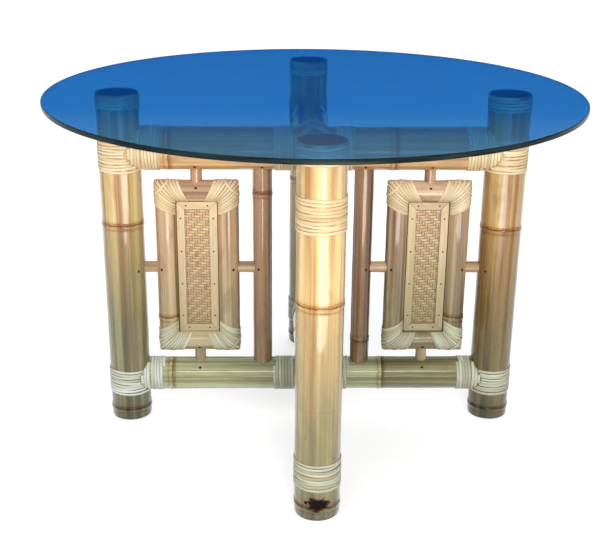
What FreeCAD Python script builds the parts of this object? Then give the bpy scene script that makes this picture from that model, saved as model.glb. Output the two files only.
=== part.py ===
import FreeCAD, Part
import math
import os
import re

import Sketcher
from FreeCAD import Placement, Rotation, Vector

# Bamboo table: a round glass top lies loose on the four legs of a cross-shaped bamboo base.
# Origin on the floor under the middle of the cross, +Z up, left-right wall along X.
# Each wall has its own frame: u runs outward from the middle, v is square to the wall, z is up.

# Driving sizes in millimetres, counts of turns and strips last
SIZES = {
    "table_height": 750,
    "glass_diameter": 1120,
    "glass_thickness": 10,
    "glass_edge_bevel": 1.5,
    "leg_diameter": 90,
    "leg_wall": 10,
    "leg_reach": 413,
    "leg_foot_round": 5,
    "leg_plug_thickness": 20,
    "foot_node": 28,
    "front_leg_node": 446,
    "back_leg_node": 452,
    "left_leg_node": 466,
    "right_leg_node": 458,
    "upper_rail_drop": 116,
    "upper_long_diameter": 84,
    "upper_short_diameter": 80,
    "lower_rail_height": 100,
    "lower_long_diameter": 74,
    "lower_short_diameter": 70,
    "rail_wall": 9,
    "left_node_gap": 17,
    "upper_long_node_shift": -19,
    "lower_long_node_shift": -31,
    "front_rail_node_shift": 15,
    "back_rail_node_shift": 31,
    "post_diameter": 42,
    "post_wall": 6,
    "post_reach": 110,
    "post_node_inset": 50,
    "panel_gap_above": 24.5,
    "panel_gap_below": 23.5,
    "panel_gap_leg": 25,
    "panel_gap_post": 30,
    "panel_pole_diameter": 47,
    "panel_pole_wall": 6,
    "panel_stile_node_drop": 114,
    "lath_width": 17,
    "lath_thickness": 6,
    "lath_nail_diameter": 2.4,
    "lath_nail_inset": 12,
    "mat_thickness": 3,
    "dowel_diameter": 25,
    "dowel_depth": 24,
    "pin_diameter": 6,
    "pin_setback": 13,
    "pin_tail": 4,
    "pin_proud": 0.6,
    "tenon_diameter": 32,
    "tenon_depth": 28,
    "plug_length": 34,
    "post_dowel_seat": 36,
    "ridge_height": 1.4,
    "ridge_width": 12,
    "diaphragm_thickness": 5,
    "diaphragm_hole": 14,
    "fit_gap": 0.15,
    "strip_width": 6.4,
    "strip_thickness": 1.4,
    "strip_bevel": 1,
    "strip_gap": 0.8,
    "strip_lift": 0.2,
    "corner_hub": 79,
    "corner_spread": 41,
    "corner_tip": 42,
    "top_band_turns": 4,
    "upper_end_turns": 5,
    "lower_end_turns": 4,
    "saddle_strips": 2,
    "upper_joint_strips": 10,
    "lower_joint_strips": 8,
    "corner_strips": 8,
    "long_lath_nails": 4,
    "short_lath_nails": 2,
}

# Each wall's turn about Z in degrees, and the side of the wall that its pins are driven from
WALLS = {
    "right": (0, -1),
    "back": (90, -1),
    "left": (180, 1),
    "front": (270, 1),
}

doc = FreeCAD.newDocument("bamboo_table")
sheet = doc.addObject("Spreadsheet::Sheet", "sizes")
for row, (alias, number) in enumerate(SIZES.items(), start=1):
    sheet.set(f"A{row}", alias)
    sheet.set(f"B{row}", str(number))
    sheet.setAlias(f"B{row}", alias)
doc.recompute()

subparts = []


# Sizes and placing

def tied(text):
    """The expression with each size's name pointing at its cell."""
    return re.sub(r"[a-z_]+", lambda word: f"sizes.{word[0]}" if word[0] in SIZES else word[0], text)


def value(text):
    """The number that an expression gives now."""
    return float(sheet.evalExpression(tied(text)))


def bind(thing, prop, text):
    thing.setExpression(prop, tied(text))


def set_down(thing, turn, u="0", v="0", z="0", lean=Rotation()):
    """Place a piece at u, v, z of the wall that stands at this turn."""
    cosine = round(math.cos(math.radians(turn)))
    sine = round(math.sin(math.radians(turn)))
    thing.Placement = Placement(Vector(), Rotation(Vector(0, 0, 1), turn) * lean)
    bind(thing, ".Placement.Base.x", f"{cosine} * ({u}) - {sine} * ({v})")
    bind(thing, ".Placement.Base.y", f"{sine} * ({u}) + {cosine} * ({v})")
    bind(thing, ".Placement.Base.z", z)


# A lying piece runs along u, with its own x pointing down
LYING = Rotation(Vector(0, 1, 0), 90)


def across(side):
    """The lean of a piece that runs square to its wall, towards this side."""
    return Rotation(Vector(1, 0, 0), -90 * side)


def keep(thing, label):
    thing.Label = label
    subparts.append(thing)
    return thing


# Sketches and features of one body

def origin_plane(body, role):
    return [item for item in body.Origin.OriginFeatures if item.Role == role][0]


def sketch_on(body, name, plane):
    sketch = body.newObject("Sketcher::SketchObject", name)
    sketch.AttachmentSupport = [(origin_plane(body, plane), "")]
    sketch.MapMode = "FlatFace"
    return sketch


def add_outline(sketch, corners):
    """A closed outline through corners (x, y) or (x, y, radius of the arc to the next corner)."""
    first = sketch.GeometryCount
    points = [Vector(value(corner[0]), value(corner[1]), 0) for corner in corners]
    rules = []
    bindings = []
    for number, corner in enumerate(corners):
        begin = points[number]
        end = points[(number + 1) % len(corners)]
        edge = first + number
        if len(corner) == 3:
            radius = value(corner[2])
            chord = end - begin
            rise = radius - math.sqrt(radius ** 2 - chord.Length ** 2 / 4)
            crown = (begin + end) / 2 + Vector(chord.y, -chord.x, 0).normalize() * rise
            sketch.addGeometry(Part.Arc(begin, crown, end), False)
            rules.append(Sketcher.Constraint("Radius", edge, radius))
            bindings.append(corner[2])
        else:
            sketch.addGeometry(Part.LineSegment(begin, end), False)
        rules.append(Sketcher.Constraint("DistanceX", -1, 1, edge, 1, begin.x))
        bindings.append(corner[0])
        rules.append(Sketcher.Constraint("DistanceY", -1, 1, edge, 1, begin.y))
        bindings.append(corner[1])
    for number in range(len(corners)):
        following = first + (number + 1) % len(corners)
        rules.append(Sketcher.Constraint("Coincident", first + number, 2, following, 1))
        bindings.append(None)
    bind_rules(sketch, rules, bindings)


def add_circle(sketch, x, y, diameter):
    radius = f"({diameter}) / 2"
    centre = Vector(value(x), value(y), 0)
    edge = sketch.addGeometry(Part.Circle(centre, Vector(0, 0, 1), value(radius)), False)
    rules = [
        Sketcher.Constraint("DistanceX", -1, 1, edge, 3, centre.x),
        Sketcher.Constraint("DistanceY", -1, 1, edge, 3, centre.y),
        Sketcher.Constraint("Radius", edge, value(radius)),
    ]
    bind_rules(sketch, rules, [x, y, radius])


def bind_rules(sketch, rules, bindings):
    numbers = sketch.addConstraint(rules)
    for number, text in zip(numbers, bindings):
        if text is not None:
            bind(sketch, f"Constraints[{number}]", text)


def cut_through(body, sketch, depth=None, side=1):
    """Cut a sketch out of the body: right through, or to a depth on one side of the plane."""
    before = body.Shape.Volume
    pocket = body.newObject("PartDesign::Pocket", f"{sketch.Name}_cut")
    pocket.Profile = sketch
    if depth is None:
        pocket.Type = "ThroughAll"
        pocket.SideType = "Symmetric"
    else:
        bind(pocket, "Length", depth)
        pocket.Reversed = side < 0
    doc.recompute()
    if not body.Shape.Volume < before:
        raise RuntimeError(f"{body.Label}: {sketch.Name} cuts nothing")
    return pocket


def culm(label, diameter, wall, start, end, nodes, foot_round=None):
    """A bamboo pole along its own z: ridged and closed by a pierced diaphragm at each node."""
    outer = f"{diameter} / 2"
    inner = f"{diameter} / 2 - {wall}"
    bore = "diaphragm_hole / 2"
    ridge = "(ridge_width * ridge_width / 4 + ridge_height * ridge_height) / (2 * ridge_height)"
    corners = [(outer, start)]
    if foot_round:
        corners = [(f"{outer} - {foot_round}", start, foot_round), (outer, f"{start} + {foot_round}")]
    for node in nodes:
        corners.append((outer, f"{node} - ridge_width / 2", ridge))
        corners.append((outer, f"{node} + ridge_width / 2"))
    corners.append((outer, end))
    corners.append((inner, end))
    for node in reversed(nodes):
        above = f"{node} + diaphragm_thickness / 2"
        below = f"{node} - diaphragm_thickness / 2"
        corners.extend([(inner, above), (bore, above), (bore, below), (inner, below)])
    corners.append((inner, start))
    body = keep(doc.addObject("PartDesign::Body", label), label)
    profile = sketch_on(body, "profile", "XZ_Plane")
    add_outline(profile, corners)
    turned = body.newObject("PartDesign::Revolution", "turned")
    turned.Profile = profile
    turned.ReferenceAxis = (profile, ["V_Axis"])
    turned.Angle = 360
    doc.recompute()
    return body


def socket(body, name, along, diameter, radius, side):
    """A round hole through the wall of a pole on its own +x or -x side."""
    sketch = sketch_on(body, name, "YZ_Plane")
    add_circle(sketch, "0", along, f"{diameter} + 2 * fit_gap")
    cut_through(body, sketch, f"{radius} + ridge_height", -side)


def pin_hole(body, name, x, along, radius, side):
    """A hole for a pin through the wall of a pole on its own +y or -y side."""
    sketch = sketch_on(body, name, "XZ_Plane")
    add_circle(sketch, x, along, "pin_diameter + 2 * fit_gap")
    cut_through(body, sketch, f"{radius} + ridge_height", side)


def cope(body, name, plane, along, diameter):
    """A fish-mouth that saddles the pole onto another pole square to it."""
    sketch = sketch_on(body, name, plane)
    add_circle(sketch, "0", along, f"{diameter} + 2 * fit_gap")
    cut_through(body, sketch)


def mitre(body, name, diameter, length, outer_side):
    """Cut both ends at 45 degrees, with the long side on the pole's own +x or -x side."""
    sketch = sketch_on(body, name, "XZ_Plane")
    spare = "ridge_width"
    long_x = f"{outer_side} * ({diameter} / 2 + {spare})"
    short_x = f"-{outer_side} * ({diameter} / 2 + {spare})"
    for end in (1, -1):
        tip = f"{end} * ({length} / 2 + {spare})"
        heel = f"{end} * ({length} / 2 - {diameter} - {spare})"
        add_outline(sketch, [(long_x, tip), (short_x, tip), (short_x, heel)])
    cut_through(body, sketch)


def plane_flat(body, name, radius, length, side):
    """Plane the node ridges off on the pole's own +x or -x side, where laths lie against it."""
    sketch = sketch_on(body, name, "XZ_Plane")
    near = f"{side} * ({radius} + fit_gap / 2)"
    far = f"{side} * ({radius} + 2 * ridge_height)"
    low = f"-{length} / 2"
    high = f"{length} / 2"
    add_outline(sketch, [(near, low), (far, low), (far, high), (near, high)])
    cut_through(body, sketch)


# Part primitives

def cylinder(name, diameter, height):
    solid = doc.addObject("Part::Cylinder", name)
    bind(solid, "Radius", f"({diameter}) / 2")
    bind(solid, "Height", height)
    return solid


def group(label, members):
    compound = doc.addObject("Part::Compound", label)
    compound.Links = members
    return keep(compound, label)


# Expressions that several pieces share

LEG_LENGTH = "(table_height - glass_thickness)"
UPPER_RAIL_HEIGHT = f"({LEG_LENGTH} - upper_rail_drop)"
RAIL_HEIGHTS = {"upper": UPPER_RAIL_HEIGHT, "lower": "lower_rail_height"}
LEG_INNER_SIDE = "(leg_reach - leg_diameter / 2)"
POST_INNER_SIDE = "(post_reach - post_diameter / 2)"
POST_OUTER_SIDE = "(post_reach + post_diameter / 2)"
PANEL_TOP = f"({UPPER_RAIL_HEIGHT} - upper_long_diameter / 2 - panel_gap_above)"
PANEL_BOTTOM = "(lower_rail_height + lower_long_diameter / 2 + panel_gap_below)"
PANEL_OUTER_SIDE = f"({LEG_INNER_SIDE} - panel_gap_leg)"
PANEL_INNER_SIDE = f"({POST_OUTER_SIDE} + panel_gap_post)"
PANEL_HEIGHT = f"({PANEL_TOP} - {PANEL_BOTTOM})"
PANEL_WIDTH = f"({PANEL_OUTER_SIDE} - {PANEL_INNER_SIDE})"
PANEL_MIDDLE = f"(({PANEL_TOP} + {PANEL_BOTTOM}) / 2)"
PANEL_REACH = f"(({PANEL_OUTER_SIDE} + {PANEL_INNER_SIDE}) / 2)"
OPENING_WIDTH = f"({PANEL_WIDTH} - 2 * panel_pole_diameter - 2 * fit_gap)"
OPENING_HEIGHT = f"({PANEL_HEIGHT} - 2 * panel_pole_diameter - 2 * fit_gap)"
BARE_RAIL_MIDDLE = f"(({POST_OUTER_SIDE} + {PANEL_REACH}) / 2)"
STRIP_LAYER = "(strip_lift + strip_thickness + strip_gap)"


def rail_diameter(level, wall):
    return f"{level}_long_diameter" if wall in ("left", "right") else f"{level}_short_diameter"


def upper_underside(wall):
    return f"({UPPER_RAIL_HEIGHT} - {rail_diameter('upper', wall)} / 2)"


def lower_top(wall):
    return f"(lower_rail_height + {rail_diameter('lower', wall)} / 2)"


def wound_end(level):
    """Where the winding on a rail's end stops, on its side towards the middle."""
    wound = f"({level}_end_turns * (strip_width + strip_gap) + strip_width)"
    return f"({LEG_INNER_SIDE} - {STRIP_LAYER} - {wound})"


def setback_from_axis(diameter):
    """How far from a pole's axis its pin sits."""
    return f"({diameter} / 2 - pin_setback)"


# Glass top

def make_glass():
    body = keep(doc.addObject("PartDesign::Body", "glass_top"), "glass_top")
    sketch = sketch_on(body, "disc", "XY_Plane")
    add_circle(sketch, "0", "0", "glass_diameter")
    pad = body.newObject("PartDesign::Pad", "sheet")
    pad.Profile = sketch
    bind(pad, "Length", "glass_thickness")
    doc.recompute()
    bevel = body.newObject("PartDesign::Chamfer", "polished_edge")
    rims = [f"Edge{n}" for n, edge in enumerate(pad.Shape.Edges, start=1) if edge.isClosed()]
    bevel.Base = (pad, rims)
    bind(bevel, "Size", "glass_edge_bevel")
    body.Tip = bevel
    bind(body, ".Placement.Base.z", LEG_LENGTH)
    doc.recompute()


# Legs

def make_leg(wall):
    turn, pin_side = WALLS[wall]
    nodes = ["foot_node", f"{wall}_leg_node"]
    leg = culm(f"leg_{wall}", "leg_diameter", "leg_wall", "0", LEG_LENGTH, nodes, "leg_foot_round")
    for level, height in RAIL_HEIGHTS.items():
        socket(leg, f"{level}_tenon_hole", height, "tenon_diameter", "leg_diameter / 2", -1)
    socket(leg, "dowel_hole", PANEL_MIDDLE, "dowel_diameter", "leg_diameter / 2", -1)
    pin_x = f"-{setback_from_axis('leg_diameter')}"
    pin_hole(leg, "pin_hole", pin_x, PANEL_MIDDLE, "leg_diameter / 2", pin_side)
    set_down(leg, turn, "leg_reach")


def make_leg_plugs():
    plugs = []
    for wall, (turn, _) in WALLS.items():
        plug = cylinder(f"plug_{wall}", "leg_diameter - 2 * leg_wall - 2 * fit_gap", "leg_plug_thickness")
        set_down(plug, turn, "leg_reach", "0", f"{LEG_LENGTH} - leg_plug_thickness")
        plugs.append(plug)
    group("leg_top_plugs", plugs)


# Rails of the upper and the lower cross

def rail_fittings(rail, level, wall, direction, pin_side):
    """Sockets and pin holes of one arm; direction is -1 on the long rail's left arm."""
    diameter = rail_diameter(level, wall)
    radius = f"{diameter} / 2"
    panel_side = 1 if level == "upper" else -1
    pin_x = f"{panel_side} * {setback_from_axis(diameter)}"
    dowel_at = f"{direction} * {PANEL_REACH}"
    post_at = f"{direction} * post_reach"
    socket(rail, f"{wall}_dowel_hole", dowel_at, "dowel_diameter", radius, panel_side)
    socket(rail, f"{wall}_post_hole", post_at, "post_diameter - 2 * post_wall", radius, panel_side)
    pin_hole(rail, f"{wall}_dowel_pin_hole", pin_x, dowel_at, radius, pin_side)
    if level == "upper":
        pin_hole(rail, f"{wall}_post_pin_hole", pin_x, post_at, radius, pin_side)


def make_long_rail(level):
    """The rail that runs unbroken from the left leg to the right leg."""
    diameter = f"{level}_long_diameter"
    left_node = f"-({wound_end(level)} - left_node_gap)"
    right_node = f"({BARE_RAIL_MIDDLE} + {level}_long_node_shift)"
    nodes = [left_node, right_node]
    rail = culm(f"{level}_long_rail", diameter, "rail_wall", "-leg_reach", "leg_reach", nodes)
    cope(rail, "left_saddle", "YZ_Plane", "-leg_reach", "leg_diameter")
    cope(rail, "right_saddle", "YZ_Plane", "leg_reach", "leg_diameter")
    pin_side = WALLS["right"][1]
    rail_fittings(rail, level, "right", 1, pin_side)
    rail_fittings(rail, level, "left", -1, pin_side)
    tenon_holes = sketch_on(rail, "tenon_holes", "XZ_Plane")
    add_circle(tenon_holes, "0", "0", "tenon_diameter + 2 * fit_gap")
    cut_through(rail, tenon_holes)
    set_down(rail, 0, "0", "0", RAIL_HEIGHTS[level], LYING)


def make_short_rail(level, wall):
    """The rail from the long rail out to the front or the back leg."""
    turn, pin_side = WALLS[wall]
    diameter = rail_diameter(level, wall)
    nodes = [f"({BARE_RAIL_MIDDLE} + {wall}_rail_node_shift)"]
    rail = culm(f"{level}_{wall}_rail", diameter, "rail_wall", "0", "leg_reach", nodes)
    cope(rail, "inner_saddle", "XZ_Plane", "0", f"{level}_long_diameter")
    cope(rail, "outer_saddle", "YZ_Plane", "leg_reach", "leg_diameter")
    rail_fittings(rail, level, wall, 1, pin_side)
    set_down(rail, turn, "0", "0", RAIL_HEIGHTS[level], LYING)


def tenon_plug(name, diameter, turn, face, height, outward):
    """A plug that fills a rail's end and reaches with a tenon through the wall of the pole it meets."""
    end = f"{face} - {outward} * fit_gap"
    plug = cylinder(f"{name}_plug", f"{diameter} - 2 * rail_wall - 2 * fit_gap", "plug_length")
    tenon = cylinder(f"{name}_tenon", "tenon_diameter", "plug_length + tenon_depth")
    if outward > 0:
        set_down(plug, turn, f"{end} - plug_length", "0", height, LYING)
        set_down(tenon, turn, f"{end} - plug_length", "0", height, LYING)
    else:
        set_down(plug, turn, end, "0", height, LYING)
        set_down(tenon, turn, f"{end} - tenon_depth", "0", height, LYING)
    joined = doc.addObject("Part::Fuse", name)
    joined.Base = plug
    joined.Tool = tenon
    return joined


def make_tenon_plugs():
    plugs = []
    for level, height in RAIL_HEIGHTS.items():
        for wall, (turn, _) in WALLS.items():
            diameter = rail_diameter(level, wall)
            plugs.append(tenon_plug(f"{level}_{wall}_end", diameter, turn, LEG_INNER_SIDE, height, 1))
            if wall in ("front", "back"):
                face = f"({level}_long_diameter / 2)"
                plugs.append(tenon_plug(f"{level}_{wall}_root", diameter, turn, face, height, -1))
    group("rail_tenon_plugs", plugs)


# Posts

def make_post(wall):
    turn, pin_side = WALLS[wall]
    low_node = f"({lower_top(wall)} + post_node_inset)"
    high_node = f"({upper_underside(wall)} - post_node_inset)"
    node = low_node if wall in ("right", "back") else high_node
    ends = (RAIL_HEIGHTS["lower"], RAIL_HEIGHTS["upper"])
    post = culm(f"post_{wall}", "post_diameter", "post_wall", *ends, [node])
    for level, height in RAIL_HEIGHTS.items():
        cope(post, f"{level}_saddle", "YZ_Plane", height, rail_diameter(level, wall))
    radius = "post_diameter / 2"
    socket(post, "dowel_hole", PANEL_MIDDLE, "dowel_diameter", radius, 1)
    pin_hole(post, "pin_hole", setback_from_axis("post_diameter"), PANEL_MIDDLE, radius, pin_side)
    set_down(post, turn, "post_reach")


def make_post_dowels():
    """Dowels that fill the post ends and stand in the rails."""
    dowels = []
    length = "post_dowel_seat + dowel_depth"
    for wall, (turn, _) in WALLS.items():
        diameter = "post_diameter - 2 * post_wall - 2 * fit_gap"
        top = cylinder(f"post_{wall}_top_peg", diameter, length)
        set_down(top, turn, "post_reach", "0", f"{upper_underside(wall)} - post_dowel_seat")
        bore = pin_bore(f"post_{wall}_peg_bore", wall, "post_reach", f"{upper_underside(wall)} + pin_setback")
        dowels.append(drilled(f"post_{wall}_top_dowel", top, [bore]))
        low = cylinder(f"post_{wall}_low_dowel", diameter, length)
        set_down(low, turn, "post_reach", "0", f"{lower_top(wall)} - dowel_depth")
        dowels.append(low)
    group("post_dowels", dowels)


# Panel of one wall

def make_panel_poles(wall):
    turn, pin_side = WALLS[wall]
    pole = "panel_pole_diameter"
    radius = "panel_pole_diameter / 2"
    pin_x = setback_from_axis(pole)
    for name, side, nodes in (("outer", 1, ["-panel_stile_node_drop"]), ("inner", -1, [])):
        label = f"panel_{wall}_{name}_stile"
        stile = culm(label, pole, "panel_pole_wall", f"-{PANEL_HEIGHT} / 2", f"{PANEL_HEIGHT} / 2", nodes)
        mitre(stile, "mitres", pole, PANEL_HEIGHT, side)
        if nodes:
            plane_flat(stile, "planed_ridge", radius, PANEL_HEIGHT, -side)
        socket(stile, "dowel_hole", "0", "dowel_diameter", radius, side)
        pin_hole(stile, "pin_hole", f"{side} * {pin_x}", "0", radius, pin_side)
        set_down(stile, turn, f"{PANEL_REACH} + {side} * ({PANEL_WIDTH} - {pole}) / 2", "0", PANEL_MIDDLE)
    for name, side in (("top", 1), ("bottom", -1)):
        label = f"panel_{wall}_{name}_rail"
        rail = culm(label, pole, "panel_pole_wall", f"-{PANEL_WIDTH} / 2", f"{PANEL_WIDTH} / 2", [])
        mitre(rail, "mitres", pole, PANEL_WIDTH, -side)
        socket(rail, "dowel_hole", "0", "dowel_diameter", radius, -side)
        pin_hole(rail, "pin_hole", f"{-side} * {pin_x}", "0", radius, pin_side)
        height = f"{PANEL_MIDDLE} + {side} * ({PANEL_HEIGHT} - {pole}) / 2"
        set_down(rail, turn, PANEL_REACH, "0", height, LYING)


def spread(count_name):
    """Evenly spaced shares from -1 to 1, one per nail."""
    count = int(value(count_name))
    return [2 * number / (count - 1) - 1 for number in range(count)]


def nail_places():
    """Where the nails of one lath frame sit, from its middle: u, z."""
    row_u = f"({OPENING_WIDTH} - lath_width) / 2"
    row_z = f"({OPENING_HEIGHT} - lath_width) / 2"
    places = []
    for side in (1, -1):
        for share in spread("long_lath_nails"):
            places.append((f"{side} * {row_u}", f"{share} * ({row_z} - lath_width - lath_nail_inset)"))
        for share in spread("short_lath_nails"):
            places.append((f"{share} * ({row_u} - lath_nail_inset)", f"{side} * {row_z}"))
    return places


def make_laths(wall):
    """Mitred laths on both faces of the mat: four padded together, drilled and mirrored."""
    label = f"panel_{wall}_laths"
    body = keep(doc.addObject("PartDesign::Body", label), label)
    frame = sketch_on(body, "lath_frame", "XZ_Plane")
    outer_u = f"{OPENING_WIDTH} / 2"
    outer_z = f"{OPENING_HEIGHT} / 2"
    inner_u = f"({outer_u} - lath_width)"
    inner_z = f"({outer_z} - lath_width)"
    upright = [(outer_u, outer_z, 1), (outer_u, outer_z, -1), (inner_u, inner_z, -1), (inner_u, inner_z, 1)]
    level = [(outer_u, outer_z, -1), (outer_u, outer_z, 1), (inner_u, inner_z, 1), (inner_u, inner_z, -1)]
    for side in (1, -1):
        add_outline(frame, [(f"{side} * {u}", f"{end} * ({z} - fit_gap)") for u, z, end in upright])
        add_outline(frame, [(f"{end} * {u}", f"{side} * {z}") for u, z, end in level])
    bind(frame, ".AttachmentOffset.Base.z", "mat_thickness / 2")
    pad = body.newObject("PartDesign::Pad", "laths")
    pad.Profile = frame
    bind(pad, "Length", "lath_thickness")
    doc.recompute()
    holes = sketch_on(body, "nail_holes", "XZ_Plane")
    for u, z in nail_places():
        add_circle(holes, u, z, "lath_nail_diameter + 2 * fit_gap")
    nail_cut = cut_through(body, holes, "mat_thickness / 2 + lath_thickness", -1)
    both_faces = body.newObject("PartDesign::Mirrored", "both_faces")
    both_faces.Originals = [pad, nail_cut]
    both_faces.MirrorPlane = (origin_plane(body, "XZ_Plane"), [""])
    body.Tip = both_faces
    set_down(body, WALLS[wall][0], PANEL_REACH, "0", PANEL_MIDDLE)
    doc.recompute()


def make_mat(wall):
    """The woven mat between the laths, as one thin sheet."""
    mat = keep(doc.addObject("Part::Box", f"panel_{wall}_mat"), f"panel_{wall}_mat")
    bind(mat, "Length", OPENING_WIDTH)
    bind(mat, "Width", "mat_thickness")
    bind(mat, "Height", OPENING_HEIGHT)
    corner_u = f"{PANEL_REACH} - {OPENING_WIDTH} / 2"
    corner_z = f"{PANEL_MIDDLE} - {OPENING_HEIGHT} / 2"
    set_down(mat, WALLS[wall][0], corner_u, "-mat_thickness / 2", corner_z)


def pin_bore(name, wall, u, z):
    """The blind hole that a dowel has for its pin."""
    turn, side = WALLS[wall]
    bore = cylinder(name, "pin_diameter + 2 * fit_gap", "pin_tail + fit_gap + dowel_diameter")
    set_down(bore, turn, u, f"{-side} * (pin_tail + fit_gap)", z, across(side))
    return bore


def drilled(name, solid, bores):
    result = doc.addObject("Part::Cut", name)
    result.Base = solid
    result.Tool = bores[0]
    if len(bores) > 1:
        result.Tool = doc.addObject("Part::Compound", f"{name}_bores")
        result.Tool.Links = bores
    return result


def dowel_spans(wall):
    """Both ends of the four dowels of a panel, as the faces that they enter: name, u, z of each face."""
    return [
        ("top", (PANEL_REACH, PANEL_TOP), (PANEL_REACH, upper_underside(wall))),
        ("bottom", (PANEL_REACH, lower_top(wall)), (PANEL_REACH, PANEL_BOTTOM)),
        ("outer", (PANEL_OUTER_SIDE, PANEL_MIDDLE), (LEG_INNER_SIDE, PANEL_MIDDLE)),
        ("inner", (POST_OUTER_SIDE, PANEL_MIDDLE), (PANEL_INNER_SIDE, PANEL_MIDDLE)),
    ]


def make_dowels(wall):
    """Four dowels that hold the panel to the rails, the leg and the post, each drilled for two pins."""
    turn = WALLS[wall][0]
    dowels = []
    for name, (near_u, near_z), (far_u, far_z) in dowel_spans(wall):
        full_name = f"panel_{wall}_{name}_dowel"
        upright = name in ("top", "bottom")
        gap = f"{far_z} - {near_z}" if upright else f"{far_u} - {near_u}"
        rod = cylinder(f"{full_name}_rod", "dowel_diameter", f"{gap} + 2 * dowel_depth")
        if upright:
            set_down(rod, turn, near_u, "0", f"{near_z} - dowel_depth")
            low = pin_bore(f"{full_name}_low_bore", wall, near_u, f"{near_z} - pin_setback")
            high = pin_bore(f"{full_name}_high_bore", wall, far_u, f"{far_z} + pin_setback")
        else:
            set_down(rod, turn, f"{near_u} - dowel_depth", "0", near_z, LYING)
            low = pin_bore(f"{full_name}_low_bore", wall, f"{near_u} - pin_setback", near_z)
            high = pin_bore(f"{full_name}_high_bore", wall, f"{far_u} + pin_setback", far_z)
        dowels.append(drilled(full_name, rod, [low, high]))
    group(f"panel_{wall}_dowels", dowels)


# Pins and nails

def make_pins():
    """One pin through each pole wall into the dowel behind it, its head a little proud of the pole."""
    pins = []
    for wall, (turn, side) in WALLS.items():
        rail = rail_diameter("upper", wall)
        places = [(f"post_{wall}_peg", "post_reach", f"{upper_underside(wall)} + pin_setback", rail)]
        members = {
            "top": ("panel_pole_diameter", rail),
            "bottom": (rail_diameter("lower", wall), "panel_pole_diameter"),
            "outer": ("panel_pole_diameter", "leg_diameter"),
            "inner": ("post_diameter", "panel_pole_diameter"),
        }
        for name, (near_u, near_z), (far_u, far_z) in dowel_spans(wall):
            near, far = members[name]
            if name in ("top", "bottom"):
                places.append((f"{wall}_{name}_low", near_u, f"{near_z} - pin_setback", near))
                places.append((f"{wall}_{name}_high", far_u, f"{far_z} + pin_setback", far))
            else:
                places.append((f"{wall}_{name}_near", f"{near_u} - pin_setback", near_z, near))
                places.append((f"{wall}_{name}_far", f"{far_u} + pin_setback", far_z, far))
        for name, u, z, diameter in places:
            depth = f"sqrt(pin_setback * ({diameter} - pin_setback))"
            pin = cylinder(f"{name}_pin", "pin_diameter", f"pin_tail + {depth} + pin_proud")
            set_down(pin, turn, u, f"{-side} * pin_tail", z, across(side))
            pins.append(pin)
    group("dowel_pins", pins)


def make_nails():
    nails = []
    for wall, (turn, _) in WALLS.items():
        for number, (u, z) in enumerate(nail_places()):
            for side in (1, -1):
                nail = cylinder(f"{wall}_nail_{number}", "lath_nail_diameter", "lath_thickness")
                face = f"{side} * mat_thickness / 2"
                set_down(nail, turn, f"{PANEL_REACH} + {u}", face, f"{PANEL_MIDDLE} + {z}", across(side))
                nails.append(nail)
    group("lath_nails", nails)


# Rattan: strips of one section, wound as helices or laid as open loops

def strip_section(radius, middle):
    """The strip's outline beside a pole of this radius, bevelled on its outer side."""
    inner = radius + value("strip_lift")
    outer = inner + value("strip_thickness")
    half = value("strip_width") / 2
    crown = half - value("strip_bevel")
    outline = [(inner, -half), (inner, half), (outer, crown), (outer, -crown), (inner, -half)]
    return Part.makePolygon([Vector(r, 0, middle + z) for r, z in outline])


def strip_pitch():
    return value("strip_width + strip_gap")


# Arcs in one turn of a winding, points per turn that its gap is measured on, and the gaps found
QUARTERS = 4
GAP_POINTS = 36
winding_gaps = []


def winding(radius, start, turns):
    """One unbroken strip wound round the z axis, its lower edge at start, on arcs of a quarter turn."""
    path_radius = radius + value("strip_lift + strip_thickness / 2")
    middle = start + value("strip_width") / 2

    def point(turn):
        angle = 2 * math.pi * turn
        height = middle + strip_pitch() * turn
        return Vector(path_radius * math.cos(angle), path_radius * math.sin(angle), height)

    count = int(turns * QUARTERS)
    arcs = []
    for number in range(count):
        begin, mid, end = (point((number + part) / QUARTERS) for part in (0, 0.5, 1))
        arcs.append(Part.Arc(begin, mid, end).toShape())
    shell = Part.BRepOffsetAPI.MakePipeShell(Part.Wire(arcs))
    shell.setBiNormalMode(Vector(0, 0, 1))
    shell.add(strip_section(radius, middle))
    shell.build()
    shell.makeSolid()
    steps = [number / GAP_POINTS for number in range(int(GAP_POINTS * (turns - 1)))]
    least = min((point(step + 1) - point(step)).Length for step in steps) - value("strip_width")
    winding_gaps.append(least)
    return shell.shape()


def winding_length(turns):
    return turns * strip_pitch() + value("strip_width")


def lying_winding(radius, start, turns, height):
    """A winding round a rail that runs along u, from start outward."""
    solid = winding(radius, start, turns)
    solid.Placement = Placement(Vector(0, 0, height), LYING)
    return solid


def open_loops(radius, first, count, envelope):
    """Strips laid round a pole one above the other, each open where the rail's envelope passes."""
    loops = []
    for number in range(count):
        section = strip_section(radius, first + number * strip_pitch())
        loops.extend(Part.Face(section).revolve(Vector(), Vector(0, 0, 1), 360).cut(envelope).Solids)
    return loops


def saddle_loops(radius, first, height, leg):
    """Strips round a rail's saddled end, each open where the leg passes."""
    loops = []
    for number in range(int(value("saddle_strips"))):
        section = strip_section(radius, first + number * strip_pitch())
        loop = Part.Face(section).revolve(Vector(), Vector(0, 0, 1), 360)
        loop.Placement = Placement(Vector(0, 0, height), LYING)
        loops.extend(loop.cut(leg).Solids)
    return loops


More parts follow.
